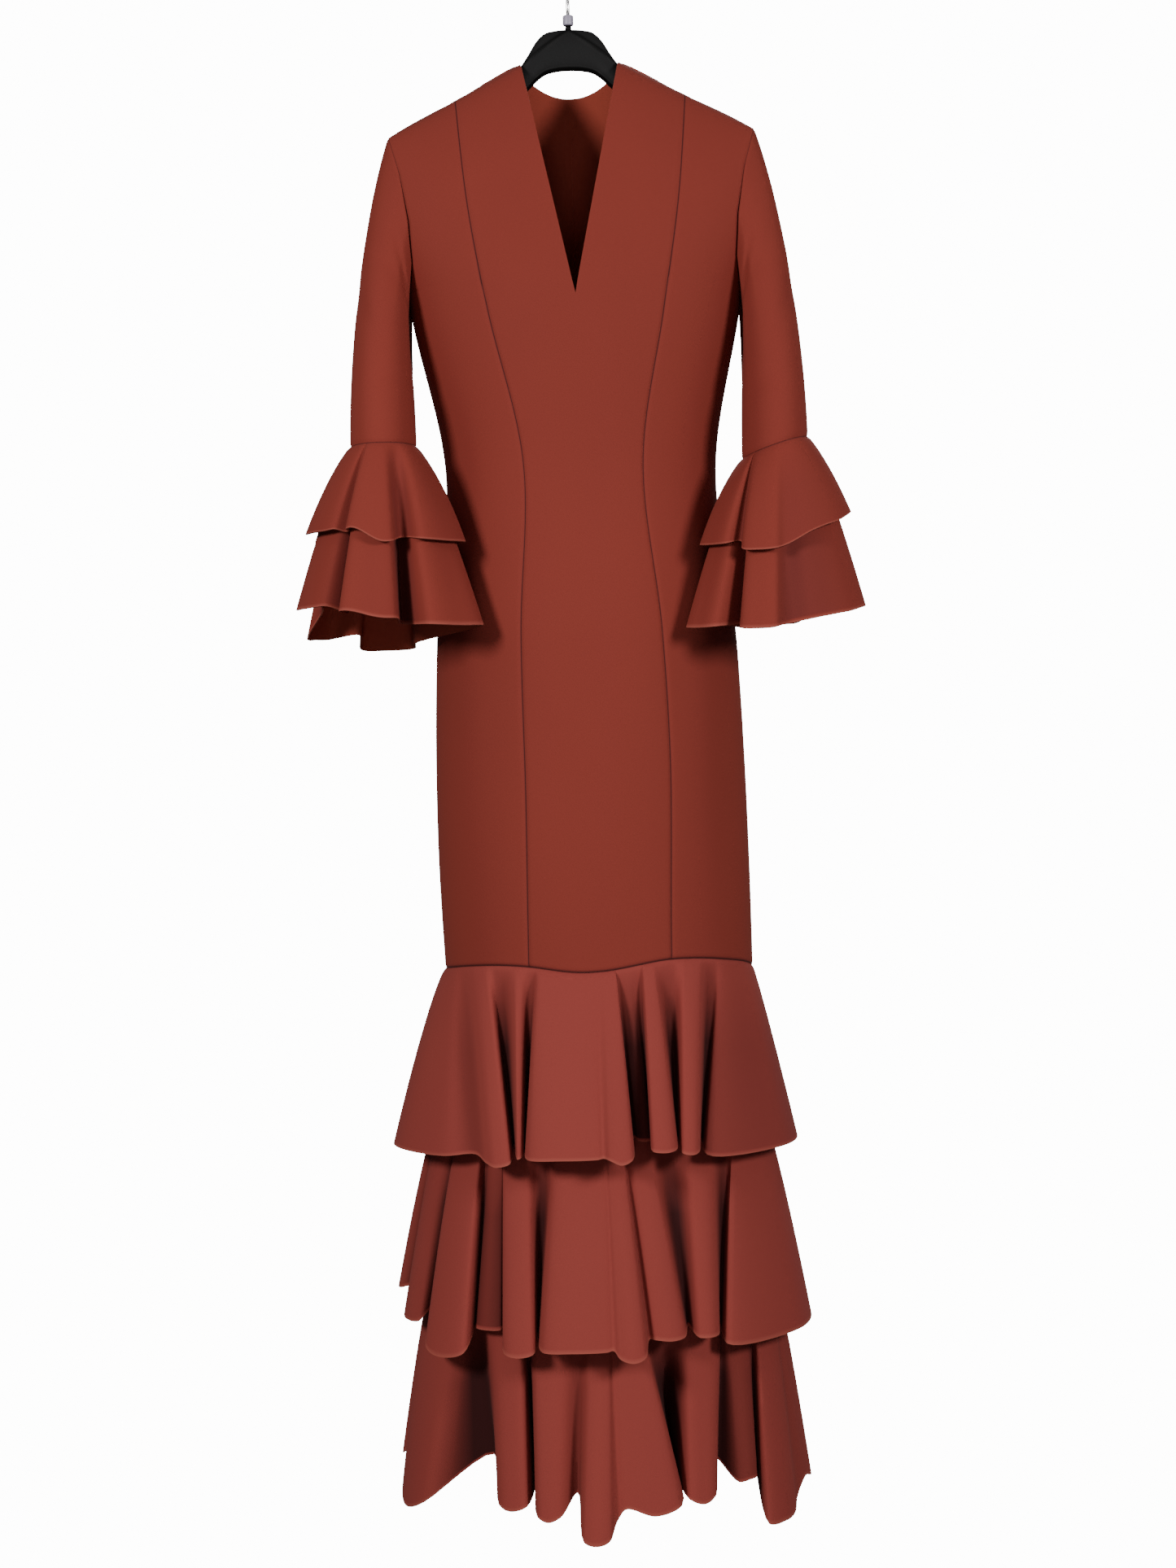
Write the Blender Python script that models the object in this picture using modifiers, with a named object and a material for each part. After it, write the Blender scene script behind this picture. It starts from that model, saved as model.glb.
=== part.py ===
# Flamenco dress on a hanger: a princess-seamed sheath to the knee, three circular skirt flounces,
# elbow sleeves with two flounces each, hung on a moulded hanger with a wire hook.
# Metres, +Z up, front faces -Y. The origin is the inside of the hook's crown.
# A drop is a height below the neck-side point. A bearing is degrees from the front towards +X.

import math

import bmesh
import bpy
import numpy as np

# Driving dimensions
NECK_Z = -0.120
CLOTH = 0.0015
SEAM_GAP = 0.0005
SIDE_SEAM_HALF_GAP = 0.0008
LAP_GAP = 0.0008
ROUNDNESS = 0.94

NECK_X = 0.050
SHOULDER_X = 0.187
SHOULDER_DROP = 0.072
SHOULDER_FADE = 0.100
SHOULDER_SEAM_Y = 0.0016
FRONT_NECK_DROP = 0.250
BACK_NECK_DROP = 0.028
UNDERARM_DROP = 0.235
BUST_DROP = 0.263
KNEE_DROP = 0.913

# Body tube: drop, centre x, half width, half depth in front, half depth behind
BODY = [
    (-0.040, 0.000, 0.235, 0.032, 0.032),
    (0.072, 0.000, 0.230, 0.046, 0.044),
    (0.160, 0.000, 0.198, 0.072, 0.058),
    (0.235, 0.000, 0.171, 0.092, 0.072),
    (0.263, 0.000, 0.166, 0.095, 0.076),
    (0.410, 0.001, 0.138, 0.100, 0.094),
    (0.587, 0.0025, 0.1525, 0.130, 0.138),
    (0.707, 0.003, 0.157, 0.140, 0.144),
    (0.801, 0.004, 0.158, 0.144, 0.146),
    (0.940, 0.007, 0.156, 0.148, 0.148),
]

# Turn of the hanging tube about its own height: drop, degrees
TWIST = [(0.235, 0.0), (0.587, 2.2), (0.720, 2.8), (0.913, 0.4)]

# Princess seams, from the shoulder's middle to the knee: drop, distance from the centre
PRINCESS = [(0.030, 0.118), (0.160, 0.105), (0.263, 0.088), (0.410, 0.060), (0.587, 0.070), (0.913, 0.070)]

# Armhole edge: drop, distance from the centre
ARMHOLE = [(0.072, 0.187), (0.115, 0.175), (0.165, 0.166), (0.205, 0.1635), (0.228, 0.1665), (0.235, 0.171)]

# Knee seam: bearing, drop
KNEE_SEAM = [
    (-180, 0.918), (-90, 0.918), (-25, 0.912), (-6, 0.918),
    (25, 0.908), (60, 0.914), (90, 0.924), (180, 0.918),
]

# Base skirt that carries the flounces: drop, centre x, half width, half depth
BASE_SKIRT = [
    (0.908, 0.007, 0.1537, 0.1457),
    (1.062, 0.003, 0.1615, 0.1600),
    (1.240, 0.001, 0.1760, 0.1760),
]
SECOND_SEAM_DROP = 1.062
THIRD_SEAM_DROP = 1.240
BASE_SKIRT_ROWS = [1.0, SECOND_SEAM_DROP, 1.15]
BASE_SKIRT_RING = 36

# Folds of a skirt flounce, one row a fold: left and right bearing at the seam, then at the hem
# left, right and valley bearing, fold radius, valley radius, fold drop, valley drop
FLOUNCE_1 = [
    (-99, -66, -99, -47, -37, 0.210, 0.199, 1.093, 1.089),
    (-54, -44.5, -31.7, -24.6, -27.0, 0.211, 0.181, 1.099, 1.083),
    (-32.5, -28.0, -23.0, -21.3, -23.2, 0.208, 0.180, 1.091, 1.083),
    (-20.5, -3.0, -19.0, -0.5, 1.0, 0.215, 0.205, 1.091, 1.090),
    (0.7, 4.0, 2.6, 8.4, 10.8, 0.218, 0.178, 1.096, 1.075),
    (6.6, 10.2, 11.6, 15.6, 16.4, 0.189, 0.178, 1.078, 1.075),
    (13.9, 17.4, 14.0, 20.4, 24.8, 0.213, 0.180, 1.087, 1.079),
    (29.7, 37.9, 22.4, 27.2, 33.0, 0.212, 0.180, 1.091, 1.082),
    (49.0, 91, 31.0, 94, 101, 0.204, 0.182, 1.097, 1.080),
    (107, 121, 107, 121, 127, 0.206, 0.180, 1.092, 1.078),
    (133, 150, 133, 150, 157, 0.212, 0.179, 1.096, 1.076),
    (163, 174, 163, 174, 179, 0.209, 0.178, 1.090, 1.078),
    (185, 203, 185, 203, 210, 0.213, 0.180, 1.097, 1.077),
    (216, 229, 216, 229, 234, 0.207, 0.179, 1.091, 1.079),
    (239, 249, 239, 249, 255, 0.210, 0.183, 1.094, 1.080),
]
FLOUNCE_2 = [
    (-106, -88, -106, -90, -85, 0.211, 0.196, 1.244, 1.240),
    (-80, -64, -79, -63, -63.0, 0.208, 0.190, 1.263, 1.248),
    (-54, -43, -54.0, -39.0, -41.0, 0.220, 0.188, 1.285, 1.254),
    (-39, -34, -39.2, -30.6, -30.5, 0.200, 0.190, 1.258, 1.255),
    (-33.0, -25.6, -26.5, -18.4, -19.6, 0.220, 0.190, 1.278, 1.262),
    (-10.6, 0.5, -15.8, 0.6, 2.2, 0.222, 0.211, 1.272, 1.271),
    (1.6, 4.6, 3.8, 10.0, 12.2, 0.225, 0.203, 1.282, 1.264),
    (7.0, 12.5, 13.4, 21.6, 25.0, 0.212, 0.191, 1.266, 1.257),
    (30.4, 39.6, 25.4, 31.4, 36.0, 0.214, 0.190, 1.266, 1.262),
    (54.0, 92, 34.0, 95, 103, 0.214, 0.195, 1.278, 1.262),
    (110, 123, 110, 123, 129, 0.219, 0.193, 1.276, 1.255),
    (135, 146, 135, 146, 152, 0.214, 0.191, 1.268, 1.256),
    (158, 173, 158, 173, 179, 0.221, 0.190, 1.278, 1.254),
    (185, 195, 185, 195, 201, 0.215, 0.192, 1.270, 1.257),
    (207, 222, 207, 222, 229, 0.220, 0.193, 1.275, 1.255),
    (235, 242, 235, 242, 247, 0.213, 0.195, 1.262, 1.250),
]
FLOUNCE_3 = [
    (-114, -96, -114, -97, -91, 0.216, 0.200, 1.420, 1.408),
    (-86, -52, -84, -60, -40, 0.213, 0.172, 1.449, 1.385),
    (-35.3, -26.0, -30.6, -22.2, -27.5, 0.211, 0.144, 1.427, 1.403),
    (-20.4, -12.0, -19.0, -12.5, -8.8, 0.215, 0.193, 1.434, 1.410),
    (-2.0, 1.2, -6.4, 0.0, 1.9, 0.228, 0.206, 1.453, 1.435),
    (3.4, 8.0, 4.4, 19.4, 26.0, 0.214, 0.140, 1.430, 1.393),
    (25.8, 38.4, 21.8, 30.2, 37.5, 0.209, 0.172, 1.425, 1.393),
    (42.2, 51.0, 40.6, 48.6, 54.0, 0.197, 0.180, 1.414, 1.416),
    (58.0, 70.0, 47.6, 61.5, 68.4, 0.213, 0.202, 1.459, 1.448),
    (76, 97, 77, 96, 103, 0.211, 0.176, 1.447, 1.408),
    (110, 121, 110, 121, 127, 0.215, 0.170, 1.448, 1.405),
    (134, 147, 134, 147, 153, 0.212, 0.160, 1.440, 1.398),
    (159, 174, 159, 174, 180, 0.218, 0.165, 1.452, 1.402),
    (186, 196, 186, 196, 202, 0.210, 0.155, 1.436, 1.396),
    (208, 221, 208, 221, 226, 0.217, 0.168, 1.450, 1.404),
    (231, 238, 231, 238, 242, 0.212, 0.180, 1.438, 1.412),
]
SKIRT_CENTRE_X = 0.002
FLARE_POWER = 0.80
FLOUNCE_LEVELS = [0.0, 0.18, 0.5, 1.0]
FOLD_STEPS = (2, 2, 1, 1)
FOLD_EDGE = 0.965
EDGE_SHARE = 0.8
SEAM_SCALE = 50000

# Sleeves and cuffs, as on the wearer's side at +X; the other side is mirrored
CUFF_CENTRE = (0.195, -0.065)
CUFF_HALF_WIDTH = 0.033
CUFF_HALF_DEPTH = 0.047
SLEEVE_RING = 20
SLEEVE_ROWS = 6
ARMHOLE_GAP = 0.0014
SLEEVE_LEAVE = (0.015, -0.03, -0.16)
SLEEVE_LEAVE_OUTER = (0.065, 0.0, -0.09)
SLEEVE_ARRIVE = (0.0, -0.02, -0.18)
SLEEVE_ARRIVE_OUTER = (0.0, 0.0, -0.12)
CUFF_LEVELS = [0.0, 0.4, 1.0]
CUFF_LAP = 0.0023
CUFF_SPREAD = 0.0060
CUFF_VALLEY_RISE = 0.004

# Drop of each cuff seam at its middle, and how much lower its body side hangs
CUFF_SEAM = {"right": (0.405, 0.010), "left": (0.394, 0.000)}

# Folds of a cuff, about the cuff's centre, bearings from the front outwards: start and end at the
# seam, then start, end, valley, fold radius, valley radius, lower hem drop, upper hem drop
CUFF_FOLDS = {
    "right": [
        (-100, -48, -60, -38, -33, 0.112, 0.074, 0.587, 0.506),
        (-36, -4, -25, -6, 6, 0.106, 0.086, 0.590, 0.512),
        (22, 84, 24, 78, 94, 0.087, 0.066, 0.570, 0.478),
        (118, 140, 118, 140, 152, 0.084, 0.062, 0.574, 0.484),
        (164, 192, 164, 190, 234, 0.100, 0.036, 0.588, 0.498),
    ],
    "left": [
        (-105, -46, -59, -21, -17, 0.116, 0.062, 0.578, 0.494),
        (-4, 20, -9, 24, 30, 0.100, 0.074, 0.571, 0.493),
        (30, 84, 38, 80, 96, 0.092, 0.066, 0.556, 0.481),
        (108, 134, 108, 134, 146, 0.090, 0.060, 0.582, 0.486),
        (160, 194, 160, 190, 234, 0.102, 0.036, 0.592, 0.500),
    ],
}

# Hanger: distance from the centre, drop of its top edge, height, half thickness
HANGER = [
    (0.000, -0.0345, 0.0420, 0.0075),
    (0.014, -0.0335, 0.0420, 0.0080),
    (0.026, -0.0300, 0.0420, 0.0085),
    (0.034, -0.0220, 0.0400, 0.0085),
    (0.042, -0.0090, 0.0350, 0.0085),
    (0.050, 0.0023, 0.0300, 0.0085),
    (0.070, 0.0127, 0.030, 0.0105),
    (0.100, 0.0285, 0.032, 0.0120),
    (0.150, 0.0547, 0.032, 0.0110),
    (0.174, 0.0679, 0.028, 0.0095),
    (0.183, 0.0760, 0.016, 0.0060),
]
HANGER_RING = 12
HOOK_WIRE = 0.0019
HOOK_INSIDE = 0.0190
HOOK_STRAIGHT_TOP_Z = -0.058
HOOK_TIP_TURN = 200
HOOK_BEND_STEPS = 4
HOOK_CROWN_STEPS = 14
HOOK_SEAT = 0.0003
BEAD_RADIUS = 0.0055
BEAD_HEIGHT = 0.0110
BEAD_SEAT = 0.0004
BEAD_CORNER = 0.0012
BEAD_BORE_GAP = 0.0003
BEAD_SIDES = 16

RUST = (0.235, 0.031, 0.021, 1.0)
BLACK = (0.012, 0.012, 0.013, 1.0)
STEEL = (0.62, 0.62, 0.63, 1.0)
VIOLET_GREY = (0.40, 0.37, 0.47, 1.0)


def clear_scene():
    for old in list(bpy.data.objects):
        bpy.data.objects.remove(old, do_unlink=True)


def material(name, colour, roughness, metallic=0.0):
    made = bpy.data.materials.new(name)
    made.use_nodes = True
    shader = made.node_tree.nodes["Principled BSDF"]
    shader.inputs["Base Color"].default_value = colour
    shader.inputs["Roughness"].default_value = roughness
    shader.inputs["Metallic"].default_value = metallic
    return made


def table(rows, key, column):
    keys = [row[0] for row in rows]
    return float(np.interp(key, keys, [row[column] for row in rows]))


def smooth_table(rows, key, column):
    # Cubic through the rows, with the slopes of the neighbouring rows
    keys = [row[0] for row in rows]
    values = [row[column] for row in rows]
    slopes = np.gradient(values, keys)
    key = min(max(key, keys[0]), keys[-1])
    i = min(int(np.searchsorted(keys, key, side="right")) - 1, len(keys) - 2)
    span = keys[i + 1] - keys[i]
    t = (key - keys[i]) / span
    rise = values[i + 1] - values[i]
    a = slopes[i] * span - rise
    b = -slopes[i + 1] * span + rise
    return values[i] + rise * t + t * (1 - t) * (a * (1 - t) + b * t)


def rounded(value):
    return math.copysign(abs(value) ** ROUNDNESS, value)


def shoulder_line(x):
    return SHOULDER_DROP * (abs(x) - NECK_X) / (SHOULDER_X - NECK_X)


def body_point(bearing, drop, inset=0.0):
    # A point on the outside of the body tube, with the shoulders closing over the hanger
    turned = math.radians(bearing + smooth_table(TWIST, drop, 1))
    centre = smooth_table(BODY, drop, 1)
    width = smooth_table(BODY, drop, 2) - inset
    facing = math.cos(turned)
    depth = smooth_table(BODY, drop, 3 if facing > 0 else 4) - inset
    x = centre + width * rounded(math.sin(turned))
    below = min(max(drop - shoulder_line(x), 0.0) / SHOULDER_FADE, 1.0)
    fade = math.sqrt(1 - (1 - below) ** 2)
    y = depth * abs(rounded(facing)) * fade + SHOULDER_SEAM_Y * (1 - fade)
    return (x, -math.copysign(y, facing), NECK_Z - drop)


def bearing_of(distance, drop):
    # The bearing whose point lies this far from the centre line, on the front at +X
    width = smooth_table(BODY, drop, 2)
    return math.degrees(math.asin(min((distance / width), 1.0) ** (1 / ROUNDNESS)))


def neck_edge(drop):
    return NECK_X * (1 - max(drop, 0.0) / FRONT_NECK_DROP)


def knee_drop(bearing):
    wrapped = (bearing + 180) % 360 - 180
    return smooth_table(KNEE_SEAM, wrapped, 1)


def cloth_object(name, grids, finish, closed=False, thickness=CLOTH):
    # Each grid is rows of points, top to bottom, every row by rising bearing
    bm = bmesh.new()
    for grid in grids:
        rows = [[bm.verts.new(point) for point in row] for row in grid]
        for upper, lower in zip(rows, rows[1:]):
            count = len(upper)
            for i in range(count if closed else count - 1):
                k = (i + 1) % count
                bm.faces.new((upper[i], lower[i], lower[k], upper[k]))
    bmesh.ops.remove_doubles(bm, verts=bm.verts, dist=1e-6)
    mesh = bpy.data.meshes.new(name)
    bm.to_mesh(mesh)
    bm.free()
    mesh.shade_smooth()
    mesh.materials.append(finish)
    made = bpy.data.objects.new(name, mesh)
    parts.objects.link(made)
    wall = made.modifiers.new("cloth wall", "SOLIDIFY")
    wall.thickness = thickness
    wall.offset = -1
    wall.use_even_offset = False
    wall.use_quality_normals = True
    return made


def between(a, b, count):
    return [a + (b - a) * i / count for i in range(count + 1)]


# Body panels: each is a grid between two seams, from its top edge to the knee seam
PANEL_COLUMNS = 5
PRINCESS_TOP_X = 0.118
BACK_COLUMNS = [0.0, 0.020, 0.034, 0.043, 0.050, 0.084, PRINCESS_TOP_X]
LOWER_DROPS = [0.30, 0.355, 0.41, 0.47, 0.53, 0.60, 0.68, 0.77, 0.86]
UPPER_STEPS = [1.0, 0.985, 0.95, 0.85, 0.65, 0.42, 0.20]


def seam_trim(bearing, drop, side):
    # Half a seam's gap as degrees, wider where the wall's inside turns a tight corner
    ahead = body_point(bearing + 0.5, max(drop, 0.05))
    behind = body_point(bearing - 0.5, max(drop, 0.05))
    metres_a_degree = math.hypot(ahead[0] - behind[0], ahead[1] - behind[1])
    at_side = abs(math.sin(math.radians(bearing))) > 0.98
    return side * (SIDE_SEAM_HALF_GAP if at_side else SEAM_GAP / 2) / metres_a_degree


def princess_bearing(drop):
    return bearing_of(smooth_table(PRINCESS, drop, 1), drop)


def tube_rows(left, right, columns, drops):
    # Rows below the armholes; left and right give a bearing for a drop
    grid = []
    for drop in drops:
        start = left(drop) + seam_trim(left(drop), drop, 1)
        stop = right(drop) + seam_trim(right(drop), drop, -1)
        grid.append([body_point(bearing, drop) for bearing in between(start, stop, columns)])
    last = []
    start = left(KNEE_DROP) + seam_trim(left(KNEE_DROP), KNEE_DROP, 1)
    stop = right(KNEE_DROP) + seam_trim(right(KNEE_DROP), KNEE_DROP, -1)
    for bearing in between(start, stop, columns):
        last.append(body_point(bearing, knee_drop(bearing) - SEAM_GAP / 2))
    grid.append(last)
    return grid


def front_centre_panel(finish):
    columns = 6
    drops = [FRONT_NECK_DROP] + LOWER_DROPS
    lower = tube_rows(lambda d: -princess_bearing(d), princess_bearing, 2 * columns, drops)
    right = []
    for step in UPPER_STEPS:
        row = []
        for s in between(0.0, 1.0, columns):
            top = shoulder_line(NECK_X + (PRINCESS_TOP_X - NECK_X) * s)
            drop = FRONT_NECK_DROP + step * (top - FRONT_NECK_DROP)
            inner = bearing_of(neck_edge(drop), drop)
            outer = princess_bearing(drop)
            outer += seam_trim(outer, drop, -1)
            row.append(body_point(inner + (outer - inner) * s, drop))
        right.append(row)
    right.append(lower[0][columns:])
    left = mirrored(right)
    left[-1] = lower[0][:columns + 1]
    return cloth_object("front_centre", [lower, right, left], finish)


def mirrored(grid):
    return [[(-x, y, z) for x, y, z in reversed(row)] for row in grid]


def side_grid(back):
    # A side panel at +X: princess seam to side seam, up to the shoulder seam and the armhole
    def facing(bearing):
        return 180 - bearing if back else bearing

    upper = []
    for step in UPPER_STEPS:
        row = []
        for s in between(0.0, 1.0, PANEL_COLUMNS):
            top = shoulder_line(PRINCESS_TOP_X + (SHOULDER_X - PRINCESS_TOP_X) * s)
            drop = UNDERARM_DROP + step * (top - UNDERARM_DROP)
            inner = princess_bearing(drop)
            inner += seam_trim(inner, drop, 1)
            outer = bearing_of(table(ARMHOLE, drop, 1), drop)
            outer = min(outer, 90 + seam_trim(90, drop, -1))
            row.append(body_point(facing(inner + (outer - inner) * s), drop))
        upper.append(row[::-1] if back else row)
    drops = [UNDERARM_DROP, BUST_DROP] + LOWER_DROPS
    if back:
        lower = tube_rows(lambda d: 90.0, lambda d: 180 - princess_bearing(d), PANEL_COLUMNS, drops)
    else:
        lower = tube_rows(princess_bearing, lambda d: 90.0, PANEL_COLUMNS, drops)
    return upper + lower


def left_tube(back, drops, columns):
    if back:
        return tube_rows(lambda d: 180 + princess_bearing(d), lambda d: 270.0, columns, drops)
    return tube_rows(lambda d: -90.0, lambda d: -princess_bearing(d), columns, drops)


def side_panels(finish):
    names = {False: ("front_side_right", "front_side_left"), True: ("back_side_right", "back_side_left")}
    for back, (right_name, left_name) in names.items():
        right = side_grid(back)
        cloth_object(right_name, [right], finish)
        drops = [UNDERARM_DROP, BUST_DROP] + LOWER_DROPS
        left = mirrored(right[:len(UPPER_STEPS)]) + left_tube(back, drops, PANEL_COLUMNS)
        cloth_object(left_name, [left], finish)


def back_panels(finish):
    right = []
    for step in UPPER_STEPS:
        row = []
        for x in BACK_COLUMNS:
            s = x / PRINCESS_TOP_X
            curve = BACK_NECK_DROP * (1 - (x / NECK_X) ** 2)
            top = shoulder_line(x) if x >= NECK_X else curve
            drop = UNDERARM_DROP + step * (top - UNDERARM_DROP)
            outer = princess_bearing(drop)
            outer += seam_trim(outer, drop, -1)
            inner = -seam_trim(0, drop, -1)
            row.append(body_point(180 - (inner + (outer - inner) * s), drop))
        right.append(row[::-1])
    drops = [UNDERARM_DROP, BUST_DROP] + LOWER_DROPS
    columns = len(BACK_COLUMNS) - 1
    right_low = tube_rows(lambda d: 180 - princess_bearing(d), lambda d: 180.0, columns, drops)
    left_low = tube_rows(lambda d: 180.0, lambda d: 180 + princess_bearing(d), columns, drops)
    cloth_object("back_right", [right + right_low], finish)
    cloth_object("back_left", [mirrored(right) + left_low], finish)


# Flounces: a closed smooth curve through the fold rows, joined to the seam by straight rays
def loop_point(p0, p1, p2, p3, t):
    # Centripetal spline between p1 and p2
    knots = [0.0]
    for a, b in ((p0, p1), (p1, p2), (p2, p3)):
        knots.append(knots[-1] + max(float(np.linalg.norm(b - a)), 1e-9) ** 0.5)
    t0, t1, t2, t3 = knots
    at = t1 + (t2 - t1) * t
    a1 = p0 * (t1 - at) / (t1 - t0) + p1 * (at - t0) / (t1 - t0)
    a2 = p1 * (t2 - at) / (t2 - t1) + p2 * (at - t1) / (t2 - t1)
    a3 = p2 * (t3 - at) / (t3 - t2) + p3 * (at - t2) / (t3 - t2)
    b1 = a1 * (t2 - at) / (t2 - t0) + a2 * (at - t0) / (t2 - t0)
    b2 = a2 * (t3 - at) / (t3 - t1) + a3 * (at - t1) / (t3 - t1)
    return b1 * (t2 - at) / (t2 - t1) + b2 * (at - t1) / (t2 - t1)


def hem_loop(folds, centre, steps):
    # Points along the hem: x, y, drop, and the bearing of the ray's start at the seam
    knots = []
    for row, after in zip(folds, folds[1:] + folds[:1]):
        seam_left, seam_right, left, right, valley, radius, deep, drop, valley_drop = row
        seam_next = after[0] + (360 if after is folds[0] else 0)
        edge_drop = drop * EDGE_SHARE + valley_drop * (1 - EDGE_SHARE)
        for seam_bearing, bearing, reach, low in (
            (seam_left, left, radius * FOLD_EDGE, edge_drop),
            ((seam_left + seam_right) / 2, (left + right) / 2, radius, drop),
            (seam_right, right, radius * FOLD_EDGE, edge_drop),
            ((seam_right + seam_next) / 2, valley, deep, valley_drop),
        ):
            angle = math.radians(bearing)
            x = centre[0] + reach * math.sin(angle)
            y = centre[1] - reach * math.cos(angle)
            knots.append(np.array([x, y, low, seam_bearing / SEAM_SCALE]))
    count = len(knots)
    closing = np.array([0, 0, 0, 360 / SEAM_SCALE])
    points = []
    for i in range(count):
        p0 = knots[i - 1] - (closing if i == 0 else 0)
        p2 = knots[(i + 1) % count] + (closing if i + 1 >= count else 0)
        p3 = knots[(i + 2) % count] + (closing if i + 2 >= count else 0)
        for k in range(steps[i % 4]):
            points.append(loop_point(p0, knots[i], p2, p3, k / steps[i % 4]))
    return points


def flounce_grid(folds, centre, seam, steps, levels, power):
    hem = hem_loop(folds, centre, steps)
    tops = [seam(point[3] * SEAM_SCALE) for point in hem]
    grid = []
    for v in levels:
        w = v ** power
        row = []
        for top, low in zip(tops, hem):
            x = top[0] + (low[0] - top[0]) * w
            y = top[1] + (low[1] - top[1]) * w
            z = top[2] + (NECK_Z - low[2] - top[2]) * v
            row.append((x, y, z))
        grid.append(row)
    return grid


def base_skirt_point(bearing, drop, out=0.0):
    centre = table(BASE_SKIRT, drop, 1)
    width = table(BASE_SKIRT, drop, 2) + out
    depth = table(BASE_SKIRT, drop, 3) + out
    angle = math.radians(bearing)
    x = centre + width * rounded(math.sin(angle))
    y = -depth * rounded(math.cos(angle))
    return (x, y, NECK_Z - drop)


def skirt(finish):
    centre = (SKIRT_CENTRE_X, 0.0)

    def knee_seam(bearing):
        return body_point(bearing, knee_drop(bearing) + SEAM_GAP)

    def second_seam(bearing):
        return base_skirt_point(bearing, SECOND_SEAM_DROP, CLOTH + LAP_GAP)

    def third_seam(bearing):
        return base_skirt_point(bearing, THIRD_SEAM_DROP + SEAM_GAP)

    for name, folds, seam in (
        ("flounce_1", FLOUNCE_1, knee_seam),
        ("flounce_2", FLOUNCE_2, second_seam),
        ("flounce_3", FLOUNCE_3, third_seam),
    ):
        grid = flounce_grid(folds, centre, seam, FOLD_STEPS, FLOUNCE_LEVELS, FLARE_POWER)
        cloth_object(name, [grid], finish, closed=True)


def base_skirt(finish):
    grid = []
    bearings = [360 * i / BASE_SKIRT_RING for i in range(BASE_SKIRT_RING)]
    top = []
    for bearing in bearings:
        drop = knee_drop(bearing) + SEAM_GAP
        x, y, z = body_point(bearing, drop, CLOTH + LAP_GAP)
        top.append((x, y, z))
    grid.append(top)
    for drop in BASE_SKIRT_ROWS + [THIRD_SEAM_DROP - SEAM_GAP / 2]:
        grid.append([base_skirt_point(bearing, drop) for bearing in bearings])
    cloth_object("base_skirt", [grid], finish, closed=True)


# Sleeves and cuffs
def armhole_point(ring_bearing):
    # The armhole's edge: 90 is the shoulder end, -90 the underarm
    back = ring_bearing > 90
    t = (ring_bearing - 90) / 180 if back else (90 - ring_bearing) / 180
    drop = SHOULDER_DROP + (UNDERARM_DROP - SHOULDER_DROP) * t
    bearing = bearing_of(table(ARMHOLE, drop, 1), drop)
    x, y, z = body_point(180 - bearing if back else bearing, drop)
    return np.array([x + ARMHOLE_GAP, y, z])


def cuff_ring_point(side, bearing, inset=0.0):
    drop, sag = CUFF_SEAM[side]
    angle = math.radians(bearing)
    x = CUFF_CENTRE[0] + (CUFF_HALF_WIDTH - inset) * math.sin(angle)
    y = CUFF_CENTRE[1] - (CUFF_HALF_DEPTH - inset) * math.cos(angle)
    return np.array([x, y, NECK_Z - drop + sag * math.sin(angle)])


def sleeve_grid(side):
    ring = [360 * i / SLEEVE_RING - 90 for i in range(SLEEVE_RING)]
    grid = []
    for t in between(0.0, 1.0, SLEEVE_ROWS):
        row = []
        for bearing in ring:
            start = armhole_point(bearing)
            stop = cuff_ring_point(side, bearing)
            stop[2] += SEAM_GAP
            outer = (1 + math.sin(math.radians(bearing))) / 2
            leave = np.array(SLEEVE_LEAVE) + np.array(SLEEVE_LEAVE_OUTER) * outer
            arrive = np.array(SLEEVE_ARRIVE) + np.array(SLEEVE_ARRIVE_OUTER) * outer
            place = start * (2 * t ** 3 - 3 * t ** 2 + 1) + leave * (t ** 3 - 2 * t ** 2 + t)
            place = place + stop * (3 * t ** 2 - 2 * t ** 3) + arrive * (t ** 3 - t ** 2)
            row.append(tuple(place))
        grid.append(row)
    return grid


def cuff_grids(side):
    # Both flounces of a cuff hang from one seam and share their folds, the upper one outside
    folds = CUFF_FOLDS[side]
    hem = hem_loop([row[:8] + (row[7] - CUFF_VALLEY_RISE,) for row in folds], CUFF_CENTRE, FOLD_STEPS)
    upper_folds = [row[:7] + (row[8], row[8] - CUFF_VALLEY_RISE) for row in folds]
    short = hem_loop(upper_folds, CUFF_CENTRE, FOLD_STEPS)
    tops = [cuff_ring_point(side, point[3] * SEAM_SCALE, CUFF_LAP) for point in hem]

    def level(share):
        # Points down the lower flounce; a share of 1 is the height of the upper one's hem
        row = []
        for top, low, high in zip(tops, hem, short):
            full = NECK_Z - low[2] - top[2]
            part = (NECK_Z - high[2] - top[2]) / full
            part = part * share if share <= 1 else part + (1 - part) * (share - 1)
            w = part ** FLARE_POWER
            x = top[0] + (low[0] - top[0]) * w
            y = top[1] + (low[1] - top[1]) * w
            row.append((x, y, top[2] + full * part))
        return row

    lower = [level(share) for share in CUFF_LEVELS + [2.0]]
    upper = []
    for share in CUFF_LEVELS:
        reach = CUFF_LAP + CUFF_SPREAD * share
        row = []
        for x, y, z in level(share):
            away = math.hypot(x - CUFF_CENTRE[0], y - CUFF_CENTRE[1])
            grown = 1 + reach / away
            x = CUFF_CENTRE[0] + (x - CUFF_CENTRE[0]) * grown
            y = CUFF_CENTRE[1] + (y - CUFF_CENTRE[1]) * grown
            row.append((x, y, z))
        upper.append(row)
    return upper, lower


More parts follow.
